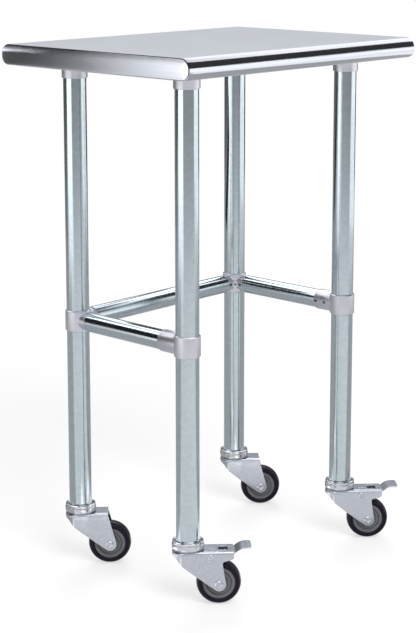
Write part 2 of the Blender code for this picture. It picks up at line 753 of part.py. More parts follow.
def brake_pedal_mesh():
    """A stamped pedal: an eye on the pivot, an arm under the plate, a step up to the foot pad and a shoe."""
    half = FORK_INNER / 2 - PEDAL_SIDE_GAP
    pad_half = PEDAL_PAD_WIDTH / 2
    widest = max(half, pad_half)
    path = rounded(
        [
            (0, PEDAL_ARM_RISE, 0),
            (PEDAL_STEP_START, PEDAL_ARM_RISE, PEDAL_BEND),
            (PEDAL_STEP_END, PEDAL_PAD_RISE, PEDAL_BEND),
            (PEDAL_TIP, PEDAL_TIP_RISE, 0),
        ],
        closed=False,
    )
    sheet = prism(strip(path, PEDAL_SHEET), -widest - OVERLAP, widest + OVERLAP, "Y")
    eye_radius = PIVOT_RADIUS + GAP + PEDAL_EYE_WALL
    neck = BRAKED_PLATE_END - PIVOT_TRAIL + PEDAL_NECK_CLEARANCE
    near_side = [
        (-eye_radius, -half, 0),
        (neck, -half, 0),
        (neck, -pad_half, 0),
        (PEDAL_TIP, -pad_half, PEDAL_CORNER),
    ]
    far_side = [(x, -y, radius) for x, y, radius in reversed(near_side)]
    trim = prism(rounded(near_side + far_side), -eye_radius - OVERLAP, PEDAL_TIP_RISE + PEDAL_SHEET)
    eye = lying(rod(eye_radius, -half, half, PIN_SIDES))
    pivot_height = FORK_TOP - PIVOT_DROP
    shoe_low = TREAD_TOP + SHOE_CLEARANCE - pivot_height
    shoe = block((SHOE_NEAR, -SHOE_WIDTH / 2, shoe_low), (SHOE_FAR, SHOE_WIDTH / 2, PEDAL_ARM_RISE))
    bore = lying(rod(PIVOT_RADIUS + GAP, -half - OVERLAP, half + OVERLAP, PIN_SIDES))
    return combined(
        sheet, ("INTERSECT", trim), ("UNION", eye), ("UNION", shoe), ("DIFFERENCE", bore))


def build_casters():
    """Four swivel casters, all trailing the same way, the front two with brakes."""
    cup, stem, race = caster_cup_mesh(), caster_stem_mesh(), ball_race_mesh()
    forks = {braked: fork_mesh(braked) for braked in (False, True)}
    axle_rivet = rivet_mesh(AXLE_RADIUS, AXLE_HEAD_RADIUS, AXLE_HEAD_HEIGHT)
    pivot_rivet = rivet_mesh(PIVOT_RADIUS, PIVOT_HEAD_RADIUS, PIVOT_HEAD_HEIGHT)
    tyre, core, bush = tyre_mesh(), wheel_core_mesh(), wheel_bush_mesh()
    pedal = brake_pedal_mesh()
    for corner, (x, y) in CORNERS.items():
        place = (x * LEG_X, y * LEG_Y, 0)
        piece(f"caster_cup_{corner}", cup, CHROME, location=place)
        piece(f"caster_stem_{corner}", stem, ZINC, location=place)
        piece(f"ball_race_{corner}", race, ZINC, location=place)
        swivel = axis_empty(f"swivel_{corner}", place, TRAIL_ANGLE)
        axle = axis_empty(f"axle_{corner}", (AXLE_TRAIL, 0, AXLE_HEIGHT), parent=swivel)
        piece(f"fork_{corner}", forks[corner in BRAKED], ZINC, swivel)
        piece(f"axle_rivet_{corner}", axle_rivet, ZINC, axle)
        piece(f"tyre_{corner}", tyre, POLYURETHANE, axle)
        piece(f"wheel_core_{corner}", core, CORE_PLASTIC, axle)
        piece(f"wheel_bush_{corner}", bush, ZINC, axle)
        if corner in BRAKED:
            pivot = axis_empty(
                f"pedal_axis_{corner}", (PIVOT_TRAIL, 0, FORK_TOP - PIVOT_DROP), parent=swivel)
            piece(f"brake_pedal_{corner}", pedal, ZINC, pivot)
            piece(f"brake_pivot_{corner}", pivot_rivet, ZINC, pivot)


def main():
    """Builds the whole table."""
    clear_scene()
    build_top()
    build_legs()
    build_brace()
    build_casters()


main()
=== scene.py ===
"""Looks of an open-base kitchen work table on casters.

Each piece is a smooth surface worked out on a grid, set in the frame of the solid that it stands for
and dressed in the finish of its real material. Metres, +Z up, floor at z = 0. Front is -Y, the long
side that the brace leaves open, and left is -X.
"""

import json
import logging
from dataclasses import dataclass, field, replace
from enum import Enum
from math import acos, asin, atan2, cos, hypot, pi, radians, sin, sqrt, tan
from typing import Any, Optional, Sequence, Union

import bmesh
import bpy
import numpy as np
from mathutils import Matrix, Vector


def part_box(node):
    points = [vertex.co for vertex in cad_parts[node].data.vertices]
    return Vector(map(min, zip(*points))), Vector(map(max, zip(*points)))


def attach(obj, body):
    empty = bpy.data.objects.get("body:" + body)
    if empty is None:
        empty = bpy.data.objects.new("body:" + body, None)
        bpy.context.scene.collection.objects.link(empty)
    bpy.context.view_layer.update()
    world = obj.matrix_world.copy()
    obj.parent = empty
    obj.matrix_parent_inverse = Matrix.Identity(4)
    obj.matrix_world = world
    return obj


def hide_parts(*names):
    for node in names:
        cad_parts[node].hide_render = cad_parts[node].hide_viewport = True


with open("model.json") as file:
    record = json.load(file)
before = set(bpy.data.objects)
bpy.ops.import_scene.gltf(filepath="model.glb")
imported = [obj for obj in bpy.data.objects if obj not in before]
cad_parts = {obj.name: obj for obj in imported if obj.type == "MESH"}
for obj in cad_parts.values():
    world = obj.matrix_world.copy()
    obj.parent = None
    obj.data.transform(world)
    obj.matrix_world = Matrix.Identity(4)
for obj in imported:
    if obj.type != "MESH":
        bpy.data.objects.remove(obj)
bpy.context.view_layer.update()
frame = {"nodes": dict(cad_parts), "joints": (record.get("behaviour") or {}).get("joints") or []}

log = logging.getLogger("work_table")

# The photograph's frame in pixels, the camera sensor's width in millimetres, and millimetres in a metre
IMAGE_WIDTH = 416
IMAGE_HEIGHT = 633
SENSOR = 36.0
MM_PER_METRE = 1000.0

# The way the camera looks, in degrees from +Y towards +X
VIEW_BEARING = 47.31

# Steps round a turned piece, and along an arc, an eased edge and a card
TUBE_SIDES = 96
SMALL_SIDES = 48
HEXAGON = 6
ARC_STEPS = 6
EASE_STEPS = 3
CARD_STEPS = 48

# Points this close are welded. An edge that bends more than SHARP_ANGLE isn't shaded smooth, and one that
# bends more than CUT_ANGLE is a cut edge. A direction that rises more than UPRIGHT is taken as upright.
WELD = 0.000002
SHARP_ANGLE = radians(34)
CUT_ANGLE = radians(50)
UPRIGHT = 0.9

# Heights of the reflection sheets just over and under the working face and of the cards on the floor, the
# level of a black one, and white
OVER_TOP = 0.985
UNDER_TOP = 0.955
ON_FLOOR = 0.0015
BLACK_LEVEL = 0.015
WHITE = "#FFFFFF"

Grid = np.ndarray
Span = tuple[float, float]
Corners = Sequence[tuple[float, float, float]]
Modifier = tuple[str, dict[str, Any]]


class Corner(Enum):
    """The table's four corners."""

    FRONT_LEFT = "front_left"
    FRONT_RIGHT = "front_right"
    REAR_LEFT = "rear_left"
    REAR_RIGHT = "rear_right"

    @property
    def braked(self) -> bool:
        """Whether the caster there has a foot brake."""
        return self.value.startswith("front")

    @property
    def inward(self) -> int:
        """The sign of the way to the table's middle along X."""
        return 1 if self.value.endswith("left") else -1


class Slot(Enum):
    """The record's material slots."""

    STAINLESS = "stainless"
    GALVANISED = "galvanised"
    CAST_ALUMINIUM = "cast_aluminium"
    CHROME = "chrome"
    ZINC = "zinc"
    PLUG = "plug"
    POLYURETHANE = "polyurethane"
    CORE = "core"


class Pattern(Enum):
    """How a surface's fine marks are laid out."""

    GRAIN = "ShaderNodeTexNoise"
    SPANGLE = "ShaderNodeTexVoronoi"


# Finishes

def linear(code: str) -> tuple[float, float, float, float]:
    """The linear colour of an sRGB hex code.

    Args:
        code: The colour as "#RRGGBB".

    Returns:
        Red, green, blue and a full alpha: a share under 0.04045 is divided by 12.92, and any other
        is ((share + 0.055) / 1.055) to the power of 2.4.
    """
    shares = np.array([int(code[i:i + 2], 16) for i in (1, 3, 5)]) / 255.0
    curve = np.where(shares <= 0.04045, shares / 12.92, ((shares + 0.055) / 1.055) ** 2.4)
    return (*curve.tolist(), 1.0)


def add_node(
    tree: bpy.types.NodeTree,
    kind: str,
    settings: Optional[dict[Union[str, int], Any]] = None,
    links: Optional[dict[Union[str, int], bpy.types.NodeSocket]] = None,
) -> bpy.types.Node:
    """Adds one node with its settings and links.

    Args:
        tree: The tree that it joins.
        kind: The node's type.
        settings: Values for its inputs, or for its own properties.
        links: Sockets that feed its inputs.

    Returns:
        The node.
    """
    node = tree.nodes.new(kind)
    for key, value in (settings or {}).items():
        if isinstance(key, str) and hasattr(node, key):
            setattr(node, key, value)
        else:
            node.inputs[key].default_value = value
    for key, socket in (links or {}).items():
        tree.links.new(socket, node.inputs[key])
    return node


def empty_tree(owner: Union[bpy.types.Material, bpy.types.World]) -> bpy.types.NodeTree:
    """The node tree of a new material or world, with nothing in it yet.

    Args:
        owner: The material or world.

    Returns:
        The tree.
    """
    owner.use_nodes = True
    owner.node_tree.nodes.clear()
    return owner.node_tree


@dataclass(frozen=True)
class Finish:
    """One real material: its colours, its gloss and the marks that its making leaves.

    The marks blend the colour into the shade and raise the surface. Broad smudges, a hand's width or
    so across, make the gloss uneven.
    """

    name: str
    slot: Optional[Slot]
    colour: str
    shade: str
    roughness: float
    roughness_spread: float
    mark_mm: tuple[float, float, float]
    smudge_mm: float
    relief: float
    metallic: float = 1.0
    pattern: Pattern = Pattern.GRAIN
    specular: float = 0.5

    def material(self) -> bpy.types.Material:
        """The Blender material of this finish, made once.

        Returns:
            The material. A pattern's scale is how many of its marks go into a metre.
        """
        found = bpy.data.materials.get(self.name)
        if found:
            return found
        made = bpy.data.materials.new(self.name)
        made.use_nodes = True
        tree = made.node_tree
        shader = tree.nodes["Principled BSDF"]
        shader.inputs["Metallic"].default_value = self.metallic
        shader.inputs["Specular IOR Level"].default_value = self.specular
        place = add_node(tree, "ShaderNodeTexCoord").outputs["Object"]
        per_metre = tuple(MM_PER_METRE / size for size in self.mark_mm)
        scaled = add_node(tree, "ShaderNodeMapping", {"Scale": per_metre}, {"Vector": place})
        marks = add_node(tree, self.pattern.value, {"Scale": 1.0}, {"Vector": scaled.outputs["Vector"]})
        level = marks.outputs["Fac" if self.pattern is Pattern.GRAIN else "Color"]
        smudge = add_node(
            tree, "ShaderNodeTexNoise", {"Scale": MM_PER_METRE / self.smudge_mm, "Detail": 2.0},
            {"Vector": place})
        blend = add_node(
            tree, "ShaderNodeMix",
            {"data_type": "RGBA", 6: linear(self.colour), 7: linear(self.shade)}, {0: level})
        gloss = add_node(
            tree, "ShaderNodeMapRange",
            {"To Min": self.roughness - self.roughness_spread,
             "To Max": self.roughness + self.roughness_spread},
            {"Value": smudge.outputs["Fac"]})
        relief = add_node(
            tree, "ShaderNodeBump",
            {"Strength": self.relief, "Distance": min(self.mark_mm) / MM_PER_METRE}, {"Height": level})
        tree.links.new(blend.outputs[2], shader.inputs["Base Color"])
        tree.links.new(gloss.outputs["Result"], shader.inputs["Roughness"])
        tree.links.new(relief.outputs["Normal"], shader.inputs["Normal"])
        return made


# Stainless sheet where it is rolled over a long edge, which burnishes it: a soft grey mirror. The brush
# lines are a few tenths of a millimetre apart, and are drawn coarser so that they show.
STAINLESS = Finish(
    name="brushed stainless steel", slot=Slot.STAINLESS, colour="#C4C7CE", shade="#BABDC6",
    roughness=0.15, roughness_spread=0.03, mark_mm=(110.0, 1.6, 1.6), smudge_mm=140.0, relief=0.03)

# The same sheet where it lies flat: its brushing is dull, so that it shows no shapes.
STAINLESS_TOP = replace(STAINLESS, name="brushed stainless top", roughness=0.36, roughness_spread=0.04)

# The same sheet where it is turned down over an end, so that its brush lines run across the table.
STAINLESS_END = replace(
    STAINLESS, name="brushed stainless end", roughness=0.17, mark_mm=(1.6, 110.0, 1.6))

# The joint line and upper bend round an end: dull, and painted dark as the shade that lies along them.
STAINLESS_SEAM_SHADE = Finish(
    name="stainless seam painted shade", slot=Slot.STAINLESS, colour="#3E4044", shade="#34363A",
    roughness=0.42, roughness_spread=0.05, mark_mm=(4.0, 4.0, 4.0), smudge_mm=60.0, relief=0.02)

# Bright galvanised tube: bluish, glossy, with a faint frost of zinc crystals.
GALVANISED = Finish(
    name="bright galvanised tube", slot=Slot.GALVANISED, colour="#BAC4CA", shade="#B1BCC3",
    roughness=0.16, roughness_spread=0.03, mark_mm=(7.0, 7.0, 7.0), smudge_mm=90.0, relief=0.015,
    pattern=Pattern.SPANGLE)

# Galvanised channel: the same zinc on rougher sheet.
GALVANISED_SHEET = Finish(
    name="galvanised sheet", slot=Slot.GALVANISED, colour="#B4BBC0", shade="#9FA7AD",
    roughness=0.36, roughness_spread=0.06, mark_mm=(9.0, 9.0, 9.0), smudge_mm=60.0, relief=0.04,
    pattern=Pattern.SPANGLE)

# Tumbled aluminium casting: a dull lavender grey with a fine skin.
CAST_ALUMINIUM = Finish(
    name="tumbled aluminium casting", slot=Slot.CAST_ALUMINIUM, colour="#C9C9D1", shade="#C0C0C9",
    roughness=0.38, roughness_spread=0.05, mark_mm=(1.4, 1.4, 1.4), smudge_mm=25.0, relief=0.03)

# Chrome plate on a pressed cup: nearly a mirror.
CHROME = Finish(
    name="chrome plate", slot=Slot.CHROME, colour="#C5C7CC", shade="#BDBFC5",
    roughness=0.10, roughness_spread=0.03, mark_mm=(3.0, 3.0, 3.0), smudge_mm=20.0, relief=0.02)

# Bright zinc plate on stamped steel: pale, with the sheet's mottle showing through. The mottle is finer
# than a millimetre, and is drawn coarser so that it shows.
ZINC = Finish(
    name="bright zinc plate", slot=Slot.ZINC, colour="#C5C8D0", shade="#A6A9B3",
    roughness=0.24, roughness_spread=0.06, mark_mm=(2.6, 2.6, 2.6), smudge_mm=18.0, relief=0.035)

# The sheared edge of a plated stamping: painted pale as a highlight along the edge, and too rough to mirror
# anything.
ZINC_EDGE_HIGHLIGHT = Finish(
    name="zinc edge painted highlight", slot=Slot.ZINC, colour="#F1F2F5", shade="#E6E8EC",
    roughness=0.46, roughness_spread=0.06, mark_mm=(1.8, 1.8, 1.8), smudge_mm=18.0, relief=0.03)

# Cast polyurethane tread: near black with a purple cast, and a wet-looking gloss.
POLYURETHANE = Finish(
    name="cast polyurethane", slot=Slot.POLYURETHANE, colour="#1B1424", shade="#140E1B",
    roughness=0.22, roughness_spread=0.05, mark_mm=(6.0, 6.0, 6.0), smudge_mm=22.0, relief=0.02,
    metallic=0.0, specular=0.12)

# Moulded polypropylene core: a flat mid grey with a fine moulded skin.
CORE = Finish(
    name="moulded polypropylene", slot=Slot.CORE, colour="#5F6064", shade="#545559",
    roughness=0.46, roughness_spread=0.05, mark_mm=(1.2, 1.2, 1.2), smudge_mm=15.0, relief=0.10,
    metallic=0.0)

# Moulded nylon plug inside the leg: a dull near black.
PLUG = Finish(
    name="moulded nylon", slot=Slot.PLUG, colour="#303033", shade="#28282B",
    roughness=0.50, roughness_spread=0.05, mark_mm=(1.2, 1.2, 1.2), smudge_mm=15.0, relief=0.08,
    metallic=0.0)

# Blackened steel screw: dark, oily and slightly shiny.
BLACK_STEEL = Finish(
    name="blackened steel", slot=None, colour="#3B3B41", shade="#2C2C31",
    roughness=0.34, roughness_spread=0.05, mark_mm=(0.8, 0.8, 0.8), smudge_mm=8.0, relief=0.06)


# Surfaces

def unit(vectors: np.ndarray) -> np.ndarray:
    """The vectors at a length of one."""
    return vectors / np.linalg.norm(vectors, axis=-1, keepdims=True)


def rounded_line(corners: Corners, closed: bool = False, steps: int = ARC_STEPS) -> np.ndarray:
    """Points along a line whose corners become arcs.

    Each corner is cut back along both of its sides by radius / tan(half of its angle), and the arc
    between the cuts is swept about the point at radius / sin(half angle) along the bisector.

    Args:
        corners: The corners as (u, v, radius).
        closed: Whether the line ends where it begins.
        steps: Parts in each arc.

    Returns:
        The points, as an array of (u, v).
    """
    spots = np.array(corners, float)
    runs = []
    for i, (u, v, radius) in enumerate(spots):
        here = np.array((u, v))
        if radius <= 0 or (not closed and i in (0, len(spots) - 1)):
            runs.append(here[None])
            continue
        before = unit(spots[i - 1, :2] - here)
        after = unit(spots[(i + 1) % len(spots), :2] - here)
        half = acos(float(np.clip(before @ after, -1, 1))) / 2
        centre = here + unit(before + after) * radius / sin(half)
        first = here + before * radius / tan(half) - centre
        left_turn = before[0] * after[1] < before[1] * after[0]
        sweep = (pi - 2 * half) * (1 if left_turn else -1)
        angles = atan2(first[1], first[0]) + np.linspace(0, sweep, steps + 1)
        runs.append(centre + radius * np.stack([np.cos(angles), np.sin(angles)], axis=-1))
    return np.concatenate(runs)


def turned(profile: np.ndarray, sides: int = TUBE_SIDES) -> Grid:
    """A profile spun about Z: x = r cos(angle), y = r sin(angle), z = h.

    Args:
        profile: Points (r, h).
        sides: Steps round the axis.

    Returns:
        The grid, one row for each step round.
    """
    angles = np.linspace(0, 2 * pi, sides, endpoint=False)[:, None]
    radius, height = profile[None, :, 0], profile[None, :, 1]
    level = np.broadcast_to(height, (sides, len(profile)))
    return np.stack([radius * np.cos(angles), radius * np.sin(angles), level], axis=-1)


def mirrored_profile(half: np.ndarray) -> np.ndarray:
    """A profile (r, h) and, before it, its reflection in h = 0."""
    return np.concatenate([half[::-1] * (1, -1), half])


def aimed(direction: Sequence[float]) -> np.ndarray:
    """A turn that takes Z to a direction and keeps X level.

    Args:
        direction: Where Z goes.

    Returns:
        The turn's matrix, whose columns are where X, Y and Z go.
    """
    along = unit(np.array(direction, float))
    if abs(along[2]) > UPRIGHT:
        level = np.array((0.0, 1.0, 0.0))
    else:
        level = unit(np.array((along[1], -along[0], 0.0)))
    return np.stack([level, np.cross(along, level), along], axis=1)


def about_z(angle: float) -> np.ndarray:
    """The matrix of a turn about Z."""
    return np.array([[cos(angle), -sin(angle), 0], [sin(angle), cos(angle), 0], [0, 0, 1]])


def placed(grid: Grid, turn: np.ndarray, origin: Sequence[float]) -> Grid:
    """The grid turned by a matrix, then moved to an origin."""
    return grid @ turn.T + np.array(origin)


class Skin:
    """Grids of points that are welded into one mesh."""

    def __init__(self) -> None:
        """Starts with nothing."""
        self.points: list[np.ndarray] = []
        self.faces: list[np.ndarray] = []
        self.count = 0

    def add(self, grid: Grid, loop_rows: bool = False, loop_columns: bool = False,
            keep: Optional[np.ndarray] = None) -> "Skin":
        """Adds a grid, with a quad between each four neighbours.

        Args:
            grid: Points, as (rows, columns, 3).
            loop_rows: Whether the last row meets the first.
            loop_columns: Whether the last column meets the first.
            keep: Which of the quads are wanted, if not all.

        Returns:
            This skin.
        """
        rows, columns = grid.shape[:2]
        index = np.arange(rows * columns).reshape(rows, columns) + self.count
        if loop_rows:
            index = np.vstack([index, index[:1]])
        if loop_columns:
            index = np.hstack([index, index[:, :1]])
        quads = np.stack([index[:-1, :-1], index[1:, :-1], index[1:, 1:], index[:-1, 1:]], axis=-1)
        self.faces.append(quads.reshape(-1, 4) if keep is None else quads[keep])
        self.points.append(grid.reshape(-1, 3))
        self.count += rows * columns
        return self

    def turned(self, profile: np.ndarray, turn: np.ndarray, origin: Sequence[float],
               sides: int = TUBE_SIDES, closed: bool = True) -> "Skin":
        """Adds a turned piece: a profile spun about an axis.

        Args:
            profile: Points (r, h). A closed one is a ring, and an open one starts and ends at r = 0.
            turn: The matrix that aims its axis.
            origin: Where r = 0, h = 0 goes.
            sides: Steps round the axis.
            closed: Whether the profile ends where it begins.

        Returns:
            This skin.
        """
        return self.add(placed(turned(profile, sides), turn, origin), loop_rows=True, loop_columns=closed)

    def mesh(self, name: str) -> bpy.types.Mesh:
        """The mesh of all the grids, welded at seams and poles, facing outwards.

        Args:
            name: The mesh's name.

        Returns:
            The mesh.
        """
        made = bpy.data.meshes.new(name)
        made.from_pydata(np.concatenate(self.points).tolist(), [], np.concatenate(self.faces).tolist())
        bm = bmesh.new()
        bm.from_mesh(made)
        bmesh.ops.remove_doubles(bm, verts=bm.verts, dist=WELD)
        bmesh.ops.dissolve_degenerate(bm, edges=bm.edges, dist=WELD)
        bmesh.ops.recalc_face_normals(bm, faces=bm.faces)
        bm.to_mesh(made)
        bm.free()
        return made


def sheet_metal(thickness: float, offset: float, edge_finish: int = 0) -> Modifier:
    """The modifier that gives a bent skin its sheet's thickness, inwards at -1 or both ways at 0."""
    return "SOLIDIFY", {"thickness": thickness, "offset": offset, "use_even_offset": True,
                        "material_offset_rim": edge_finish}


def eased_edges(width: float, edge_finish: int = -1) -> Modifier:
    """The modifier that rounds cut edges."""
    return "BEVEL", {"width": width, "segments": EASE_STEPS, "limit_method": "ANGLE",
                     "angle_limit": CUT_ANGLE, "material": edge_finish}


def add_piece(name: str, skin: Skin, finish: Finish, body: str, nodes: Sequence[str] = (),
              modifiers: Sequence[Modifier] = (), edge: Optional[Finish] = None) -> bpy.types.Object:
    """Puts a finished piece in the scene.

    Args:
        name: The piece's name.
        skin: Its surface.
        finish: What it is made of.
        body: The moving body that carries it.
        nodes: The solids that it stands for.
        modifiers: What still shapes it, applied here in order.
        edge: The finish of its cut edges, if they differ.

    Returns:
        The object.
    """
    obj = bpy.data.objects.new(name, skin.mesh(name))
    bpy.context.scene.collection.objects.link(obj)
    for each in (finish, edge) if edge else (finish,):
        obj.data.materials.append(each.material())
    for kind, settings in modifiers:
        modifier = obj.modifiers.new(kind.lower(), kind)
        for key, value in settings.items():
            setattr(modifier, key, value)
    if modifiers:
        graph = bpy.context.evaluated_depsgraph_get()
        obj.data = bpy.data.meshes.new_from_object(obj.evaluated_get(graph))
        obj.modifiers.clear()
    obj.data.shade_smooth()
    obj.data.set_sharp_from_angle(angle=SHARP_ANGLE)
    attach(obj, body)
    if nodes:
        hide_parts(*nodes)
    log.info("%s: %d faces of %s on %s", name, len(obj.data.polygons), finish.name, body)
    return obj


def corners_of(node: str) -> tuple[np.ndarray, np.ndarray]:
    """The lowest and highest corners of a solid."""
    low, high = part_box(node)
    return np.array(low), np.array(high)


def joint_place(name: str) -> np.ndarray:
    """Where a joint is."""
    return np.array(next(j for j in frame["joints"] if j["name"] == name)["pos_m"])


def tube_profile(inner: float, outer: float, low: float, high: float, ease: float) -> np.ndarray:
    """The closed profile of a tube with eased outer edges.

    A ring beside each edge, at twice the ease from the end, keeps the wall's shading straight.

    Args:
        inner: The bore's radius.
        outer: The outer radius.
        low: Where it starts along its axis.
        high: Where it ends.
        ease: The radius of the eased edges.

    Returns:
        Points (r, h).
    """
    near, far = low + 2 * ease, high - 2 * ease
    return rounded_line(
        [(inner, low, 0), (outer, low, ease), (outer, near, 0), (outer, far, 0), (outer, high, ease),
         (inner, high, 0)], closed=True, steps=EASE_STEPS)


def slab(outline: np.ndarray, levels: Sequence[tuple[float, float]]) -> Grid:
    """A flat plate or block: an outline about the axis, scaled in at each level and closed at both ends.

    Args:
        outline: Points (u, v) round the axis.
        levels: Each level as (height, inset), from one end to the other. The inset draws every point
            towards the axis by inset / the outline's widest reach.

    Returns:
        The grid, one row a level, with a pole at each end.
    """
    reach = np.abs(outline).max()
    rows = [np.zeros((len(outline), 3)) + (0, 0, levels[0][0])]
    for height, inset in levels:
        level = np.full((len(outline), 1), height)
        rows.append(np.hstack([outline * (1 - inset / reach), level]))
    rows.append(np.zeros((len(outline), 3)) + (0, 0, levels[-1][0]))
    return np.stack(rows)


def eased_levels(low: float, high: float, ease: float) -> list[tuple[float, float]]:
    """Levels for a slab with both edges eased by quarter circles.

    Args:
        low: The height of its lower face.
        high: The height of its upper face.
        ease: The quarter circles' radius.

    Returns:
        Each level as (height, inset).
    """
    angles = np.linspace(0, pi / 2, EASE_STEPS + 1)
    rise, inset = ease * (1 - np.cos(angles)), ease * (1 - np.sin(angles))
    start = list(zip(low + rise, inset))
    end = list(zip(high - rise, inset))
    return start + end[::-1]


def rounded_rectangle(half_u: float, half_v: float, corner: float) -> np.ndarray:
    """A rectangle's outline about the axis, with round corners."""
    spots = ((half_u, half_v), (-half_u, half_v), (-half_u, -half_v), (half_u, -half_v))
    return rounded_line([(u, v, corner) for u, v in spots], closed=True)


# Sub-assemblies

@dataclass
class TableTop:
    """The bent stainless sheet and the stiffeners welded under it."""

    sheet: float = 0.0012
    upper_roll: float = 0.0180
    lower_roll: float = 0.0155
    bulge: float = 0.0004
    side_return: float = 0.032
    end_return: float = 0.014
    end_bend: float = 0.0022
    plate_lean: float = 0.96
    bend_lean: float = 0.40
    flat_lean: float = 0.995
    channel_sheet: float = 0.0015
    channel_brim: float = 0.014
    channel_bend: float = 0.0025
    edge_steps: int = 12
    bend_steps: int = 5

    def half_line(self, inset: float, roll: float) -> np.ndarray:
        """Half of the rolled section, drawn in by an inset, from the middle of one long edge to the other.

        The edge's face is bowed out by a parabola, bulge * (1 - (rise / half height) squared), as a
        rolled sheet is.

        Args:
            inset: How far inside the sheet's outer face.
            roll: The radius of the edge's bend.

        Returns:
            Points (y, rise from the middle).
        """
        low, high = corners_of("tabletop")
        half, top = high[1] - inset, (high[2] - low[2]) / 2 - inset
        reach, radius = high[1] - self.side_return, roll - inset
        side = [(half, 0, 0), (half, (top - radius) / 2, 0), (half, top, radius), (reach, top, 0)]
        line = rounded_line(side + [(-y, rise, r) for y, rise, r in reversed(side)], steps=self.edge_steps)
        edge = np.clip((np.abs(line[:, 0]) - half + roll) / roll, 0, 1)
        line[:, 0] -= np.sign(line[:, 0]) * self.bulge * edge * (line[:, 1] / top) ** 2
        return line

    def stations(self) -> list[tuple[float, float]]:
        """The sections along the right half: a plain run, then the end's bend, which is a quarter circle.

        Returns:
            Each section as (x, inset).
        """
        end = corners_of("tabletop")[1][0]
        angles = np.linspace(0, pi / 2, self.bend_steps + 1)
        bend = zip(end - self.end_bend * (1 - np.sin(angles)), self.end_bend * (1 - np.cos(angles)))
        return [(end - self.end_return, 0.0), *bend]

    def build_sheet(self) -> None:
        """The sheet: its section carried along the table, two end plates, and an opening underneath."""
        low, high = corners_of("tabletop")
        middle = (low[2] + high[2]) / 2
        right = self.stations()
        places = [(-x, inset) for x, inset in reversed(right)] + right
        loops = []
        for x, inset in places:
            upper = self.half_line(inset, self.upper_roll) + (0, middle)
            lower = self.half_line(inset, self.lower_roll)[::-1] * (1, -1) + (0, middle)
            loop = np.concatenate([upper, lower[1:-1]])
            loops.append(np.hstack([np.full((len(loop), 1), x), loop]))
        grid = np.stack(loops)
        across = (grid[0] + np.roll(grid[0], -1, axis=0)) / 2
        along = (grid[1:, 0, 0] + grid[:-1, 0, 0]) / 2
        under = (np.abs(across[:, 1]) < high[1] - self.side_return) & (across[:, 2] < middle)
        opening = np.abs(along)[:, None] < high[0] - self.end_return
        skin = Skin().add(grid, loop_columns=True, keep=~(opening & under[None]))
        count = grid.shape[1] // 2 + 1
        for end in (grid[0], grid[-1]):
            above = end[:count]
            below = np.concatenate([above[:1], end[count:][::-1], above[-1:]])
            skin.add(np.stack([above, below]))
        top = add_piece("top_sheet", skin, STAINLESS, "table", ["tabletop"],
                        [sheet_metal(self.sheet, -1.0)])
        self.dress(top)

    def dress(self, top: bpy.types.Object) -> None:
        """Gives the flat, the end plates and the plates' upper bends finishes of their own, the bends a
        painted shade.

        Args:
            top: The sheet.
        """
        faces = top.data.polygons
        normals = np.empty(len(faces) * 3, np.float32)
        faces.foreach_get("normal", normals)
        along, up = np.abs(normals[0::3]), normals[2::3]
        on_plate = along > self.plate_lean
        # The end plates' upper bends, which are given a dark finish as painted shade
        painted_shade_bend = (along > self.bend_lean) & (up > -self.bend_lean)
        on_flat = up > self.flat_lean
        # The dark finish at index 2 paints the shade along the bends
        for finish in (STAINLESS_END, STAINLESS_SEAM_SHADE, STAINLESS_TOP):
            top.data.materials.append(finish.material())
        chosen = np.select([on_plate, painted_shade_bend, on_flat], [1, 2, 3])
        faces.foreach_set("material_index", chosen.astype(np.int32))

    def build_channel(self, side: str) -> None:
        """A hat-section stiffener: its section's middle line carried along the table.

        Args:
            side: Which long side it is near, front or rear.
        """
        node = f"channel_{side}"
        low, high = corners_of(node)
        centre, half = (low[1] + high[1]) / 2, (high[1] - low[1]) / 2
        wall = half - self.channel_brim - self.channel_sheet / 2
        top, floor = high[2] - self.channel_sheet / 2, low[2] + self.channel_sheet / 2
        bend = self.channel_bend
        line = rounded_line(
            [(-half, top, 0), (-wall, top, bend), (-wall, floor, bend), (wall, floor, bend),
             (wall, top, bend), (half, top, 0)])
        ends = [np.hstack([np.full((len(line), 1), x), line + (centre, 0)]) for x in (low[0], high[0])]
        add_piece(f"stiffener_{side}", Skin().add(np.stack(ends)), GALVANISED_SHEET, "table", [node],
                  [sheet_metal(self.channel_sheet, 0.0)])

    def build(self) -> None:
        """The sheet and both stiffeners."""
        self.build_sheet()
        for side in ("front", "rear"):
            self.build_channel(side)


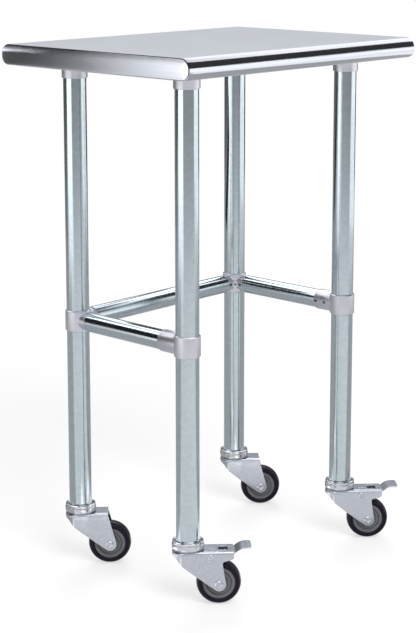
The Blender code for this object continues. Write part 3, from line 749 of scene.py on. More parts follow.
@dataclass
class Leg:
    """One leg: its tube, the cast socket on its top and the plug in its bottom."""

    corner: Corner
    wall: float = 0.0012
    tube_ease: float = 0.0004
    socket_wall: float = 0.0021
    socket_gap: float = 0.0003
    socket_ease: float = 0.0011
    flange_thickness: float = 0.004
    flange_corner: float = 0.012
    flange_ease: float = 0.0012
    rib_half: float = 0.0015
    rib_drop: float = 0.012
    rib_inset: float = 0.004
    bolt_inset: float = 0.009
    bolt_across: float = 0.0098
    bolt_height: float = 0.0038
    bolt_face: float = 0.84
    bolt_shoulder: float = 0.82
    washer_radius: float = 0.0062
    washer_height: float = 0.0010

    def __post_init__(self) -> None:
        """Finds the leg in the frame."""
        self.low, self.high = corners_of(f"leg_{self.corner.value}")
        self.axis = (self.low + self.high) / 2 * (1, 1, 0)
        self.radius = (self.high[0] - self.low[0]) / 2

    def build_tube(self) -> None:
        """The tube: a ring profile spun about the leg's axis."""
        profile = tube_profile(
            self.radius - self.wall, self.radius, self.low[2], self.high[2], self.tube_ease)
        add_piece(f"leg_tube_{self.corner.value}", Skin().turned(profile, np.eye(3), self.axis),
                  GALVANISED, "table", [f"leg_{self.corner.value}"])

    def build_socket(self) -> None:
        """The socket casting: a turned barrel, a square flange and four ribs."""
        node = f"leg_socket_{self.corner.value}"
        low, high = corners_of(node)
        bore = self.radius + self.socket_gap
        outer = bore + self.socket_wall
        flange_low = high[2] - self.flange_thickness
        overlap = self.flange_thickness / 2
        barrel = rounded_line(
            [(bore, low[2], self.socket_ease / 2), (outer, low[2], self.socket_ease),
             (outer, flange_low, 0), (outer + self.socket_ease, flange_low + overlap, 0),
             (bore, flange_low + overlap, 0)], closed=True)
        half = (high[0] - low[0]) / 2
        flange = slab(rounded_rectangle(half, half, self.flange_corner),
                      eased_levels(flange_low, high[2], self.flange_ease))
        skin = Skin().turned(barrel, np.eye(3), self.axis).add(flange + self.axis, loop_columns=True)
        reach = half - self.rib_inset
        root = outer - self.socket_wall / 2
        rib = np.array([(root, -overlap), (reach, -overlap), (reach, 0), (outer, self.rib_drop),
                        (root, self.rib_drop)])
        middle = rib.mean(axis=0)
        rows = [np.broadcast_to(middle, rib.shape), rib, rib, np.broadcast_to(middle, rib.shape)]
        sides = [-self.rib_half, -self.rib_half, self.rib_half, self.rib_half]
        for quarter in range(4):
            grid = np.stack([
                np.stack([row[:, 0], np.full(len(rib), side), flange_low - row[:, 1]], axis=-1)
                for row, side in zip(rows, sides)])
            skin.add(placed(grid, about_z(quarter * pi / 2), self.axis), loop_columns=True)
        add_piece(f"socket_casting_{self.corner.value}", skin, CAST_ALUMINIUM, "table", [node])

    def build_bolts(self) -> None:
        """Four hexagon heads and washers under the socket's flange."""
        low, high = corners_of(f"leg_socket_{self.corner.value}")
        seat = high[2] - self.flange_thickness
        spread = (high[0] - low[0]) / 2 - self.bolt_inset
        across = self.bolt_across / sqrt(3)
        head = [(0, -self.bolt_height), (across * self.bolt_face, -self.bolt_height),
                (across, -self.bolt_height * self.bolt_shoulder), (across, 0), (0, 0)]
        washer = [(0, -self.washer_height), (self.washer_radius, -self.washer_height),
                  (self.washer_radius, 0), (0, 0)]
        skin = Skin()
        for x in (-spread, spread):
            for y in (-spread, spread):
                place = self.axis + (x, y, seat)
                skin.turned(np.array(washer), np.eye(3), place, SMALL_SIDES, closed=False)
                under = place - (0, 0, self.washer_height)
                skin.turned(np.array(head), np.eye(3), under, HEXAGON, closed=False)
        add_piece(f"socket_bolts_{self.corner.value}", skin, ZINC, "table")

    def dress_plug(self) -> None:
        """The plug is hidden in the tube, so its solid stays and takes its finish."""
        plug = frame["nodes"][f"leg_insert_{self.corner.value}"]
        plug.data.materials.clear()
        plug.data.materials.append(PLUG.material())
        log.info("leg_insert_%s: kept, %s", self.corner.value, PLUG.name)

    def build(self) -> None:
        """Every piece of the leg."""
        self.build_tube()
        self.build_socket()
        self.build_bolts()
        self.dress_plug()


@dataclass
class Brace:
    """Three bars and the four cast fittings that clamp them to the legs."""

    bar_wall: float = 0.0012
    bar_ease: float = 0.0004
    bore: float = 0.02105
    collar: float = 0.02315
    collar_half: float = 0.0195
    chamfer: float = 0.0018
    collar_ease: float = 0.0006
    collar_steps: int = 4
    spigot: float = 0.0160
    spigot_ease: float = 0.0016
    spigot_grip: float = 0.037
    spigot_fillet: float = 0.0016
    least_room: float = 0.15
    socket: float = 0.0194
    socket_wall: float = 0.0016
    socket_length: float = 0.032
    socket_floor: float = 0.004
    socket_ease: float = 0.0009
    sink: float = 0.0007
    boss_half: float = 0.0055
    boss_proud: float = 0.0045
    boss_corner: float = 0.0012
    screw: float = 0.0024
    screw_inset: float = 1 / 6
    screw_proud: float = 0.0009
    screw_ease: float = 0.000225
    screw_key: float = 0.0013
    key_floor: float = -0.00009
    bars: dict[str, int] = field(default_factory=lambda: {"left": 1, "right": 1, "rear": 0})

    def collar_radius(self, height: np.ndarray) -> np.ndarray:
        """The collar's outer radius at a height from its middle, less on its chamfers."""
        return self.collar - np.maximum(0, np.abs(height) - (self.collar_half - self.chamfer))

    def collar_centre(self, corner: Corner) -> np.ndarray:
        """The middle of a leg's collar, at the height of the bars' axes."""
        low, high = corners_of("brace_bar_rear")
        return Leg(corner).axis + (0, 0, (low[2] + high[2]) / 2)

    def build_bar(self, side: str, axis: int) -> None:
        """A bar: a ring profile spun about its own axis.

        Args:
            side: Which side it is on.
            axis: The number of the axis that it lies along.
        """
        node = f"brace_bar_{side}"
        low, high = corners_of(node)
        middle = (low + high) / 2
        half, radius = (high - low)[axis] / 2, (high - low)[2] / 2
        profile = tube_profile(radius - self.bar_wall, radius, -half, half, self.bar_ease)
        skin = Skin().turned(profile, aimed(np.eye(3)[axis]), middle)
        add_piece(f"brace_tube_{side}", skin, GALVANISED, "brace", [node])

    def branch(self, radius: float, fillet: float, tip: Sequence[tuple[float, float]]) -> Grid:
        """A round arm that grows out of the collar along X, with a fillet at its root.

        At an angle about X the arm's side y = r cos, z = r sin meets the collar at
        x = sqrt(R squared - y squared). The fillet is a parabola from the arm to the collar, with its
        middle control point on that meeting line. Below it the grid sinks into the collar's wall.

        Args:
            radius: The arm's radius.
            fillet: The fillet's size at the arm's sides. It dies out where the collar's rim is near.
            tip: The arm's end as (distance from the leg's axis, radius), the last on the axis.

        Returns:
            The grid, one row for each step out.
        """
        angles = np.linspace(0, 2 * pi, TUBE_SIDES, endpoint=False)
        y, z = radius * np.cos(angles), radius * np.sin(angles)
        root = np.sqrt(self.collar_radius(z) ** 2 - y ** 2)
        lean = np.arcsin(y / self.collar)
        step = np.stack([z / np.cos(lean), y], axis=-1)
        out = unit(np.stack([step[:, 1], step[:, 0]], axis=-1))
        room = np.clip((self.collar_half - radius) / fillet, self.least_room, 1)
        size = fillet * (1 - (1 - room) * np.sin(angles) ** 2)
        limit = self.collar_half - self.sink
        foot_lean = lean + size * out[:, 0] / self.collar
        foot_z = np.clip(z + size * out[:, 1], -limit, limit)
        rim = self.collar_radius(foot_z)
        on_arm = np.stack([root + size, y, z], axis=-1)
        corner = np.stack([root, y, z], axis=-1)
        foot = np.stack([rim * np.cos(foot_lean), rim * np.sin(foot_lean), foot_z], axis=-1)
        rows = []
        for share in (0.0, 0.5, 1.0):
            lean_in, level = share * foot_lean, share * foot_z
            sunk = self.collar_radius(level) - self.sink
            rows.append(np.stack([sunk * np.cos(lean_in), sunk * np.sin(lean_in), level], axis=-1))
        for t in np.linspace(1, 0, ARC_STEPS + 1):
            rows.append((1 - t) ** 2 * on_arm + 2 * t * (1 - t) * corner + t ** 2 * foot)
        for distance, wide in tip:
            rows.append(np.stack(
                [np.full_like(y, distance), wide * np.cos(angles), wide * np.sin(angles)], axis=-1))
        return np.stack(rows)

    def collar_skin(self, centre: np.ndarray) -> Skin:
        """A skin that holds a collar, chamfered at both rims.

        Args:
            centre: The collar's middle.

        Returns:
            The skin.
        """
        half, edge = self.collar_half, self.collar_half - self.chamfer
        inner = self.collar - self.chamfer
        ease = self.collar_ease
        profile = rounded_line(
            [(self.bore, -half, ease / 2), (inner, -half, ease), (self.collar, -edge, ease),
             (self.collar, edge, ease), (inner, half, ease), (self.bore, half, ease / 2)],
            closed=True, steps=self.collar_steps)
        return Skin().turned(profile, np.eye(3), centre)

    def key_screw(self) -> Grid:
        """A set screw's end: a turned rim round a hexagon key hole.

        The hole's edge is at key / cos(angle from the middle of its flat) all the way round.

        Returns:
            The grid, one row a step from the wall to the middle of the hole's floor.
        """
        angles = np.linspace(0, 2 * pi, SMALL_SIDES, endpoint=False)
        hexagon = self.screw_key / np.cos((angles % (pi / 3)) - pi / 6)
        top, ease, floor = self.screw_proud, self.screw_ease, self.key_floor
        rows = [(0, -self.screw), (self.screw, -self.screw), (self.screw, top - ease),
                (self.screw - ease, top), (hexagon, top), (hexagon, floor), (0, floor)]
        return np.stack([
            np.stack([r * np.cos(angles), r * np.sin(angles), np.full_like(angles, h)], axis=-1)
            for r, h in rows])

    def add_screws(self, name: str, places: Sequence[tuple[np.ndarray, np.ndarray]]) -> None:
        """Set screws as one piece.

        Args:
            name: The piece's name.
            places: Where each screw leaves the casting, and which way it points.
        """
        skin = Skin()
        for place, way in places:
            skin.add(placed(self.key_screw(), aimed(way), place), loop_columns=True)
        add_piece(name, skin, BLACK_STEEL, "brace")

    def build_rear_fitting(self, corner: Corner) -> None:
        """A rear fitting: a collar, a spigot for each bar and a boss for the clamp screw between them.

        Args:
            corner: The leg that it clamps.
        """
        centre = self.collar_centre(corner)
        end = self.collar + self.spigot_grip
        ease = self.spigot_ease
        tip = [(end - ease, self.spigot), (end, self.spigot - ease), (end, 0)]
        arm = self.branch(self.spigot, self.spigot_fillet, tip)
        to_rear = 0.0 if corner.inward > 0 else pi
        diagonal = atan2(-1, corner.inward)
        boss = slab(rounded_rectangle(self.boss_half, self.boss_half, self.boss_corner),
                    eased_levels(self.bore + self.sink, self.collar + self.boss_proud, self.boss_corner))
        skin = self.collar_skin(centre)
        for angle in (to_rear, -pi / 2):
            skin.add(placed(arm, about_z(angle), centre), loop_columns=True)
        skin.add(placed(boss, about_z(diagonal) @ aimed((1, 0, 0)), centre), loop_columns=True)
        add_piece(f"fitting_{corner.value}", skin, CAST_ALUMINIUM, "brace",
                  [f"brace_corner_{corner.value}"])
        out = about_z(diagonal) @ (1, 0, 0)
        inner_rear, inner_side = np.array((0, -1, 0)), np.array((corner.inward, 0, 0))
        bar_start = corners_of("brace_bar_rear")[0][0] - Leg(Corner.REAR_LEFT).axis[0]
        show = (self.collar + bar_start) / 2
        along_rear, along_side = about_z(to_rear) @ (show, 0, 0), np.array((0, -show, 0))
        self.add_screws(f"fitting_screws_{corner.value}", [
            (centre + out * (self.collar + self.boss_proud), out),
            (centre + along_rear + inner_rear * self.spigot, inner_rear),
            (centre + along_side + inner_side * self.spigot, inner_side)])

    def build_front_fitting(self, corner: Corner) -> None:
        """A front fitting: a collar with a socket that the side bar goes into.

        Args:
            corner: The leg that it clamps.
        """
        centre = self.collar_centre(corner)
        mouth, floor = self.collar + self.socket_length, self.collar + self.socket_floor
        bore = self.socket - self.socket_wall
        ease = self.socket_ease
        tip = [(mouth - ease, self.socket), (mouth - ease / 3, self.socket - ease / 3),
               (mouth, self.socket - ease), (mouth, bore), (floor, bore), (floor, 0)]
        arm = self.branch(self.socket, self.spigot_fillet, tip)
        skin = self.collar_skin(centre).add(placed(arm, about_z(pi / 2), centre), loop_columns=True)
        add_piece(f"fitting_{corner.value}", skin, CAST_ALUMINIUM, "brace", [f"brace_end_{corner.value}"])
        inner = np.array((corner.inward, 0, 0))
        inset = self.socket_length * self.screw_inset
        self.add_screws(f"fitting_screws_{corner.value}", [
            (centre + (0, distance, 0) + inner * self.socket, inner)
            for distance in (self.collar + inset, mouth - inset)])

    def build(self) -> None:
        """The bars and the fittings."""
        for side, axis in self.bars.items():
            self.build_bar(side, axis)
        for corner in Corner:
            if corner.braked:
                self.build_front_fitting(corner)
            else:
                self.build_rear_fitting(corner)


@dataclass
class Caster:
    """One swivel caster: cup, ball race, king pin, stamped fork, wheel and, at the front, the brake.

    cup_rim and cup_dish give the upper outline of the cup, each corner as (in from the cup's outside or
    out from the leg, down from the cup's top, rounding). rivet_head gives a head's outline, each corner
    as (share of its radius, share of its height, rounding as a share of its height). plain_marks are
    where the rulings of a cheek without a brake start, behind the leg, and plate_shares are added lines
    along each half of the plate. slot is (near, far, inner, outer) and window is (near, far, reach): how
    far behind the leg they start and end, then how far out from the fork's middle line.
    """

    corner: Corner
    gap: float = 0.0003
    cup_floor: float = 0.004
    cup_foot: float = 0.0012
    cup_foot_round: float = 0.0006
    cup_rim: Corners = (
        (0.0, 0.0068, 0.0010), (0.0018, 0.0060, 0.0004), (0.0020, 0.0054, 0.0003),
        (0.0009, 0.0046, 0.0006), (0.0009, 0.0014, 0.0012), (0.0030, 0.0, 0.0010))
    cup_dish: Corners = ((0.0018, 0.0016, 0.0010), (0.0, 0.0020, 0.0003))
    cup_steps: int = 5
    race_width: float = 0.006
    race_ease: float = 0.0008
    pin_radius: float = 0.006
    pin_head: float = 0.0105
    pin_head_height: float = 0.004
    pin_face: float = 0.7
    pin_round: float = 0.003
    pin_ease: float = 0.001
    head_setback: float = 0.0004
    half_width: float = 0.0205
    sheet: float = 0.0025
    bend: float = 0.0046
    edge_ease: float = 0.0012
    crease: float = 0.013
    crease_round: float = 0.006
    flank_round: float = 0.035
    cheek_start: float = 0.0165
    cheek_end: float = 0.012
    nose_drop: float = 0.0080
    brow_trail: float = -0.0205
    brow_drop: float = 0.0126
    brow_round: float = 0.012
    knee_trail: float = -0.0085
    knee_drop: float = 0.0288
    knee_round: float = 0.085
    plain_end: float = 0.051
    braked_end: float = 0.080
    lobe_drop: float = 0.0135
    lobe_corner: float = 0.0055
    lobe_inner_end: float = 0.0595
    lobe_inner_drop: float = 0.0195
    lobe_fillet: float = 0.0045
    slot: tuple[float, float, float, float] = (0.037, 0.048, 0.007, 0.011)
    window: tuple[float, float, float] = (0.053, 0.070, 0.0115)
    plain_marks: tuple[float, float, float] = (0.032, 0.041, 0.047)
    plate_shares: Span = (0.2, 0.8)
    nose_steps: int = 15
    front_steps: int = 8
    foot_steps: int = 24
    rear_steps: int = 5
    cheek_steps: int = 4
    rivet_head: Corners = (
        (1.0, 0.0, 1 / 6), (1.0, 0.35, 1 / 3), (0.66, 1.0, 1 / 2), (0.42, 0.55, 1 / 3), (0.0, 0.5, 0.0))
    axle_radius: float = 0.004
    axle_head: float = 0.0078
    axle_head_height: float = 0.0026
    tyre_half: float = 0.014
    tyre_shoulder: float = 0.0075
    tyre_power: float = 0.8
    tyre_steps: int = 32
    tyre_lip: float = 0.0006
    seat_half: float = 0.0125
    core_radius: float = 0.0286
    core_rim_round: float = 0.0007
    core_step_round: float = 0.0005
    core_groove_round: float = 0.0002
    core_floor_round: float = 0.0003
    core_rim_half: float = 0.01225
    core_step_outer: float = 0.0226
    core_step_inner: float = 0.0216
    core_disc_half: float = 0.00975
    core_band_outer: float = 0.0205
    core_band_inner: float = 0.0166
    core_band_half: float = 0.0112
    core_band_slope: float = 0.0007
    hub_radius: float = 0.0115
    hub_flare: float = 0.0015
    hub_round: float = 0.0008
    bush_wall: float = 0.002
    bush_ease: float = 0.0003
    pivot_radius: float = 0.003
    pivot_head: float = 0.0052
    pivot_head_height: float = 0.0018

    def __post_init__(self) -> None:
        """Finds the swivel's axis, the axle and the way the caster trails."""
        name = self.corner.value
        swivel, axle = joint_place(f"swivel_{name}"), joint_place(f"wheel_spin_{name}")
        self.foot = swivel * (1, 1, 0)
        self.fork_top = swivel[2]
        self.axle_height = axle[2]
        away = axle - swivel
        self.trail = hypot(away[0], away[1])
        self.turn = about_z(atan2(away[1], away[0]))
        self.along_axle = self.turn @ aimed((0, 1, 0))
        self.cup_low, self.cup_high = corners_of(f"caster_cup_{name}")
        self.cup_radius = (self.cup_high[0] - self.cup_low[0]) / 2
        self.head = self.cup_radius - self.head_setback
        self.leg_radius = Leg(self.corner).radius
        self.plate_end = self.braked_end if self.corner.braked else self.plain_end

    def world(self, place: Sequence[float]) -> np.ndarray:
        """A place from (behind the leg, across the fork, height) to the table's own axes."""
        return self.turn @ np.array(place) + self.foot

    def build_swivel(self) -> None:
        """Cup, race and king pin: three profiles spun about the leg's axis."""
        name, low, high = self.corner.value, self.cup_low[2], self.cup_high[2]
        outer, bore, seat = self.cup_radius, self.pin_radius + self.gap, self.leg_radius + self.gap
        floor = low + self.cup_floor
        cup = rounded_line(
            [(bore, low, 0), (outer - self.cup_foot, low, self.cup_foot_round),
             (outer, low + self.cup_foot, self.cup_foot_round),
             *((outer - inward, high - drop, bend) for inward, drop, bend in self.cup_rim),
             *((seat + outward, high - drop, bend) for outward, drop, bend in self.cup_dish),
             (seat, floor, 0), (bore, floor, 0)], closed=True, steps=self.cup_steps)
        add_piece(f"cup_{name}", Skin().turned(cup, np.eye(3), self.foot), CHROME, "table",
                  [f"caster_cup_{name}"])
        race_low, race_high = corners_of(f"ball_race_{name}")
        race_outer = (race_high[0] - race_low[0]) / 2
        race_bore = race_outer - self.race_width
        race = tube_profile(race_bore, race_outer, race_low[2], race_high[2], self.race_ease)
        add_piece(f"race_{name}", Skin().turned(race, np.eye(3), self.foot), ZINC, "table",
                  [f"ball_race_{name}"])
        stem_low, stem_high = corners_of(f"caster_stem_{name}")
        head = stem_low[2] + self.pin_head_height
        pin = rounded_line(
            [(0, stem_low[2], 0), (self.pin_head * self.pin_face, stem_low[2], self.pin_round),
             (self.pin_head, head - self.pin_ease, self.pin_ease), (self.pin_head, head, 0),
             (self.pin_radius, head, 0), (self.pin_radius, stem_high[2], self.pin_ease),
             (0, stem_high[2], 0)])
        add_piece(f"king_pin_{name}", Skin().turned(pin, np.eye(3), self.foot, SMALL_SIDES, closed=False),
                  ZINC, "table", [f"caster_stem_{name}"])

    def tangent_angle(self, point: Sequence[float], side: int) -> float:
        """The angle on the cheek's round end where a line from a point touches it.

        Args:
            point: The point as (behind the leg, height).
            side: Which of the two touching lines, 1 or -1.

        Returns:
            The angle.
        """
        away = (point[0] - self.trail, point[1] - self.axle_height)
        return atan2(away[1], away[0]) + side * acos(self.cheek_end / hypot(*away))

    def nose_plan(self) -> np.ndarray:
        """One side of the fork's nose from above: a round head, a crease, a short taper, then the cheek.

        Returns:
            Points (behind the leg, across), from the nose's tip.
        """
        shoulder = (-self.crease, sqrt(self.head ** 2 - self.crease ** 2))
        last = pi / 2 + asin(self.crease / self.head) + self.crease_round / self.head / 2
        angles = np.linspace(pi, last, self.nose_steps + 1)
        nose = self.head * np.stack([np.cos(angles), np.sin(angles)], axis=-1)
        flank = rounded_line(
            [(*nose[-1], 0), (*shoulder, self.crease_round),
             (self.crease, self.half_width, self.flank_round), (self.cheek_start, self.half_width, 0)])
        return np.concatenate([nose[:-1], flank])

    def cheek_rulings(self) -> tuple[np.ndarray, np.ndarray]:
        """The straight lines that sweep out the flat of a cheek behind its taper.

        Returns:
            Where each line starts on the top edge, behind the leg, and the point (behind the leg, height)
            on the cut edge where it ends: down the raked front edge, round the axle and up the rear edge.
        """
        top = self.fork_top - self.bend
        knee = (self.knee_trail, self.fork_top - self.knee_drop)
        rake = self.tangent_angle(knee, 1)
        rake = rake - 2 * pi if rake > pi else rake
        if self.corner.braked:
            rear = rounded_line(
                [(self.plate_end, top, 0),
                 (self.plate_end, self.fork_top - self.lobe_drop, self.lobe_corner),
                 (self.lobe_inner_end, self.fork_top - self.lobe_inner_drop, self.lobe_fillet),
                 (self.trail + self.cheek_end, self.axle_height, 0)])[:-1][::-1]
            marks = [self.cheek_start, self.slot[0], self.slot[1], self.window[0]]
            corner_start = ARC_STEPS + 1
            rear_tops = np.concatenate(
                [np.linspace(self.window[0], self.window[1], corner_start + 1)[1:],
                 np.linspace(self.window[1], self.plate_end, len(rear) - corner_start + 1)[1:]])
        else:
            rear = np.array([(self.plate_end, top)])
            marks = [self.cheek_start, *self.plain_marks]
            rear_tops = np.array([self.plate_end])
        back = self.tangent_angle(rear[0], -1)
        angles = np.linspace(rake, back, self.foot_steps + 1)
        foot = np.stack([self.trail + self.cheek_end * np.cos(angles),
                         self.axle_height + self.cheek_end * np.sin(angles)], axis=-1)
        slope = (foot[0, 1] - knee[1]) / (foot[0, 0] - knee[0])
        first = np.array((self.cheek_start, knee[1] + slope * (self.cheek_start - knee[0])))
        front = first + (foot[0] - first) * np.linspace(0, 1, self.front_steps + 1)[1:, None]
        edge = foot[-1] + (rear[0] - foot[-1]) * np.linspace(0, 1, self.rear_steps + 1)[1:-1, None]
        tops = [np.linspace(a, b, n + 1)[1:] for a, b, n in zip(
            marks[:-1], marks[1:], (len(front), len(foot) - 1, len(edge)))]
        return np.concatenate([*tops, rear_tops]), np.concatenate([front, foot[1:], edge, rear])

    def fork_side(self, side: int) -> tuple[Grid, np.ndarray]:
        """Half of the fork's outer face: plate, bend and cheek, ruled from the middle line to the cut edge.

        Args:
            side: 1 for the half towards +Y of the fork, -1 for the other.

        Returns:
            The grid, one row for each ruling, and which of its quads stay beside the cut-outs.
        """
        plan = self.nose_plan()
        run = np.gradient(plan, axis=0)
        normal = unit(np.stack([-run[:, 1], run[:, 0]], axis=-1))
        normal[0] = (-1, 0)
        knee = (self.knee_trail, self.fork_top - self.knee_drop)
        tops, ends = self.cheek_rulings()
        cut = rounded_line(
            [(-self.head, self.fork_top - self.nose_drop, 0),
             (self.brow_trail, self.fork_top - self.brow_drop, self.brow_round),
             (*knee, self.knee_round), (*ends[0], 0)])
        nose_ends = np.stack([plan[:, 0], np.interp(plan[:, 0], cut[:, 0], cut[:, 1])], axis=-1)
        wide = np.full(len(tops), self.half_width)
        plan = np.concatenate([plan, np.stack([tops, wide], axis=-1)])
        normal = np.concatenate([normal, np.tile((0.0, 1.0), (len(tops), 1))])
        across_end = plan[:, 1]
        ends = np.concatenate([nose_ends, ends])
        inset = plan - self.bend * normal
        flat = self.half_width - self.bend
        cuts = np.array((*self.slot[2:], self.window[2])) / flat
        shares = [0, self.plate_shares[0], *cuts, self.plate_shares[1], 1]
        columns = [np.stack([inset[:, 0], inset[:, 1] * share, np.full(len(plan), self.fork_top)], axis=-1)
                   for share in shares]
        for angle in np.linspace(0, pi / 2, ARC_STEPS)[1:]:
            spot = inset + self.bend * sin(angle) * normal
            level = np.full((len(plan), 1), self.fork_top - self.bend * (1 - cos(angle)))
            columns.append(np.hstack([spot, level]))
        start = columns[-1]
        finish = np.stack([ends[:, 0], across_end, ends[:, 1]], axis=-1)
        columns += [start + (finish - start) * share
                    for share in np.linspace(0, 1, self.cheek_steps + 1)[1:]]
        grid = np.stack(columns, axis=1) * (1, side, 1)
        middles = (grid[1:, :-1] + grid[:-1, 1:]) / 2
        behind, across = middles[..., 0], np.abs(middles[..., 1])
        high = middles[..., 2] > self.fork_top - WELD
        near, far, reach = self.window
        gone = (behind > near) & (behind < far) & (across < reach) & high
        if side < 0:
            near, far, inner, outer = self.slot
            gone |= (behind > near) & (behind < far) & (across > inner) & (across < outer) & high
        keep = ~gone if self.corner.braked else np.ones_like(gone)
        return grid, keep

    def build_fork(self) -> None:
        """The stamped fork: both halves of its outer face, given the sheet's thickness inwards."""
        skin = Skin()
        for side in (1, -1):
            grid, keep = self.fork_side(side)
            skin.add(placed(grid, self.turn, self.foot), keep=keep)
        name = self.corner.value
        # The cut edges get a pale finish that paints a highlight along them
        add_piece(f"stamped_fork_{name}", skin, ZINC, f"caster_{name}", [f"fork_{name}"],
                  [sheet_metal(self.sheet, -1.0, 1), eased_edges(self.edge_ease, 1)], ZINC_EDGE_HIGHLIGHT)

    def rivet(self, radius: float, head: float, height: float) -> np.ndarray:
        """Half a rivet's profile: a shank, then a spun head with a dished middle.

        Args:
            radius: The shank's radius.
            head: The head's radius.
            height: How far the head stands off the cheek.

        Returns:
            Points (r, h) from the shank's middle to the middle of the head.
        """
        seat = self.half_width + self.gap
        return rounded_line(
            [(radius, 0, 0), (radius, seat, 0),
             *((head * out, seat + height * up, height * bend) for out, up, bend in self.rivet_head)])

    def build_wheel(self) -> None:
        """Axle, bush, core and tyre: profiles spun about the axle."""
        name = self.corner.value
        place = self.world((self.trail, 0, self.axle_height))
        rivet = mirrored_profile(self.rivet(self.axle_radius, self.axle_head, self.axle_head_height)[1:])
        add_piece(f"axle_{name}", Skin().turned(rivet, self.along_axle, place, SMALL_SIDES, closed=False),
                  ZINC, f"caster_{name}", [f"axle_rivet_{name}"])
        inner = self.axle_radius + self.gap
        bush_half = self.half_width - self.sheet - self.gap
        bush = tube_profile(inner, inner + self.bush_wall, -bush_half, bush_half, self.bush_ease)
        wheel = f"wheel_{name}"
        add_piece(f"bush_{name}", Skin().turned(bush, self.along_axle, place, SMALL_SIDES), ZINC, wheel,
                  [f"wheel_bush_{name}"])
        bore = inner + self.bush_wall + self.gap
        half = rounded_line(
            [(self.core_radius, 0, 0), (self.core_radius, self.core_rim_half, self.core_rim_round),
             (self.core_step_outer, self.core_rim_half, self.core_step_round),
             (self.core_step_inner, self.core_disc_half, self.core_groove_round),
             (self.core_band_outer + self.core_band_slope, self.core_disc_half, self.core_groove_round),
             (self.core_band_outer, self.core_band_half, self.core_step_round),
             (self.core_band_inner, self.core_band_half, self.core_step_round),
             (self.core_band_inner - self.core_band_slope, self.core_disc_half, self.core_floor_round),
             (self.hub_radius + self.hub_flare, self.core_disc_half, self.hub_round),
             (self.hub_radius, self.tyre_half, self.hub_round),
             (bore, self.tyre_half, self.bush_ease), (bore, 0, 0)])
        core = np.concatenate([half, half[1:-1][::-1] * (1, -1)])
        add_piece(f"core_{name}", Skin().turned(core, self.along_axle, place), CORE, wheel,
                  [f"wheel_core_{name}"])
        seat, wall = self.core_radius + self.gap, self.axle_height - self.tyre_shoulder
        lip, lip_half = seat + self.tyre_lip, self.seat_half + self.tyre_lip
        angles = np.linspace(0, pi, self.tyre_steps + 1)
        crown = np.stack([wall + self.tyre_shoulder * np.sin(angles) ** self.tyre_power,
                          self.tyre_half * np.cos(angles)], axis=-1)
        tyre = np.concatenate([
            [(seat, -self.seat_half), (seat, self.seat_half), (lip, lip_half)], crown, [(lip, -lip_half)]])
        add_piece(f"tread_{name}", Skin().turned(tyre, self.along_axle, place), POLYURETHANE, wheel,
                  [f"tyre_{name}"])

    def build(self) -> None:
        """Every piece of the caster."""
        self.build_swivel()
        self.build_fork()
        self.build_wheel()
        if self.corner.braked:
            Brake(self).build()


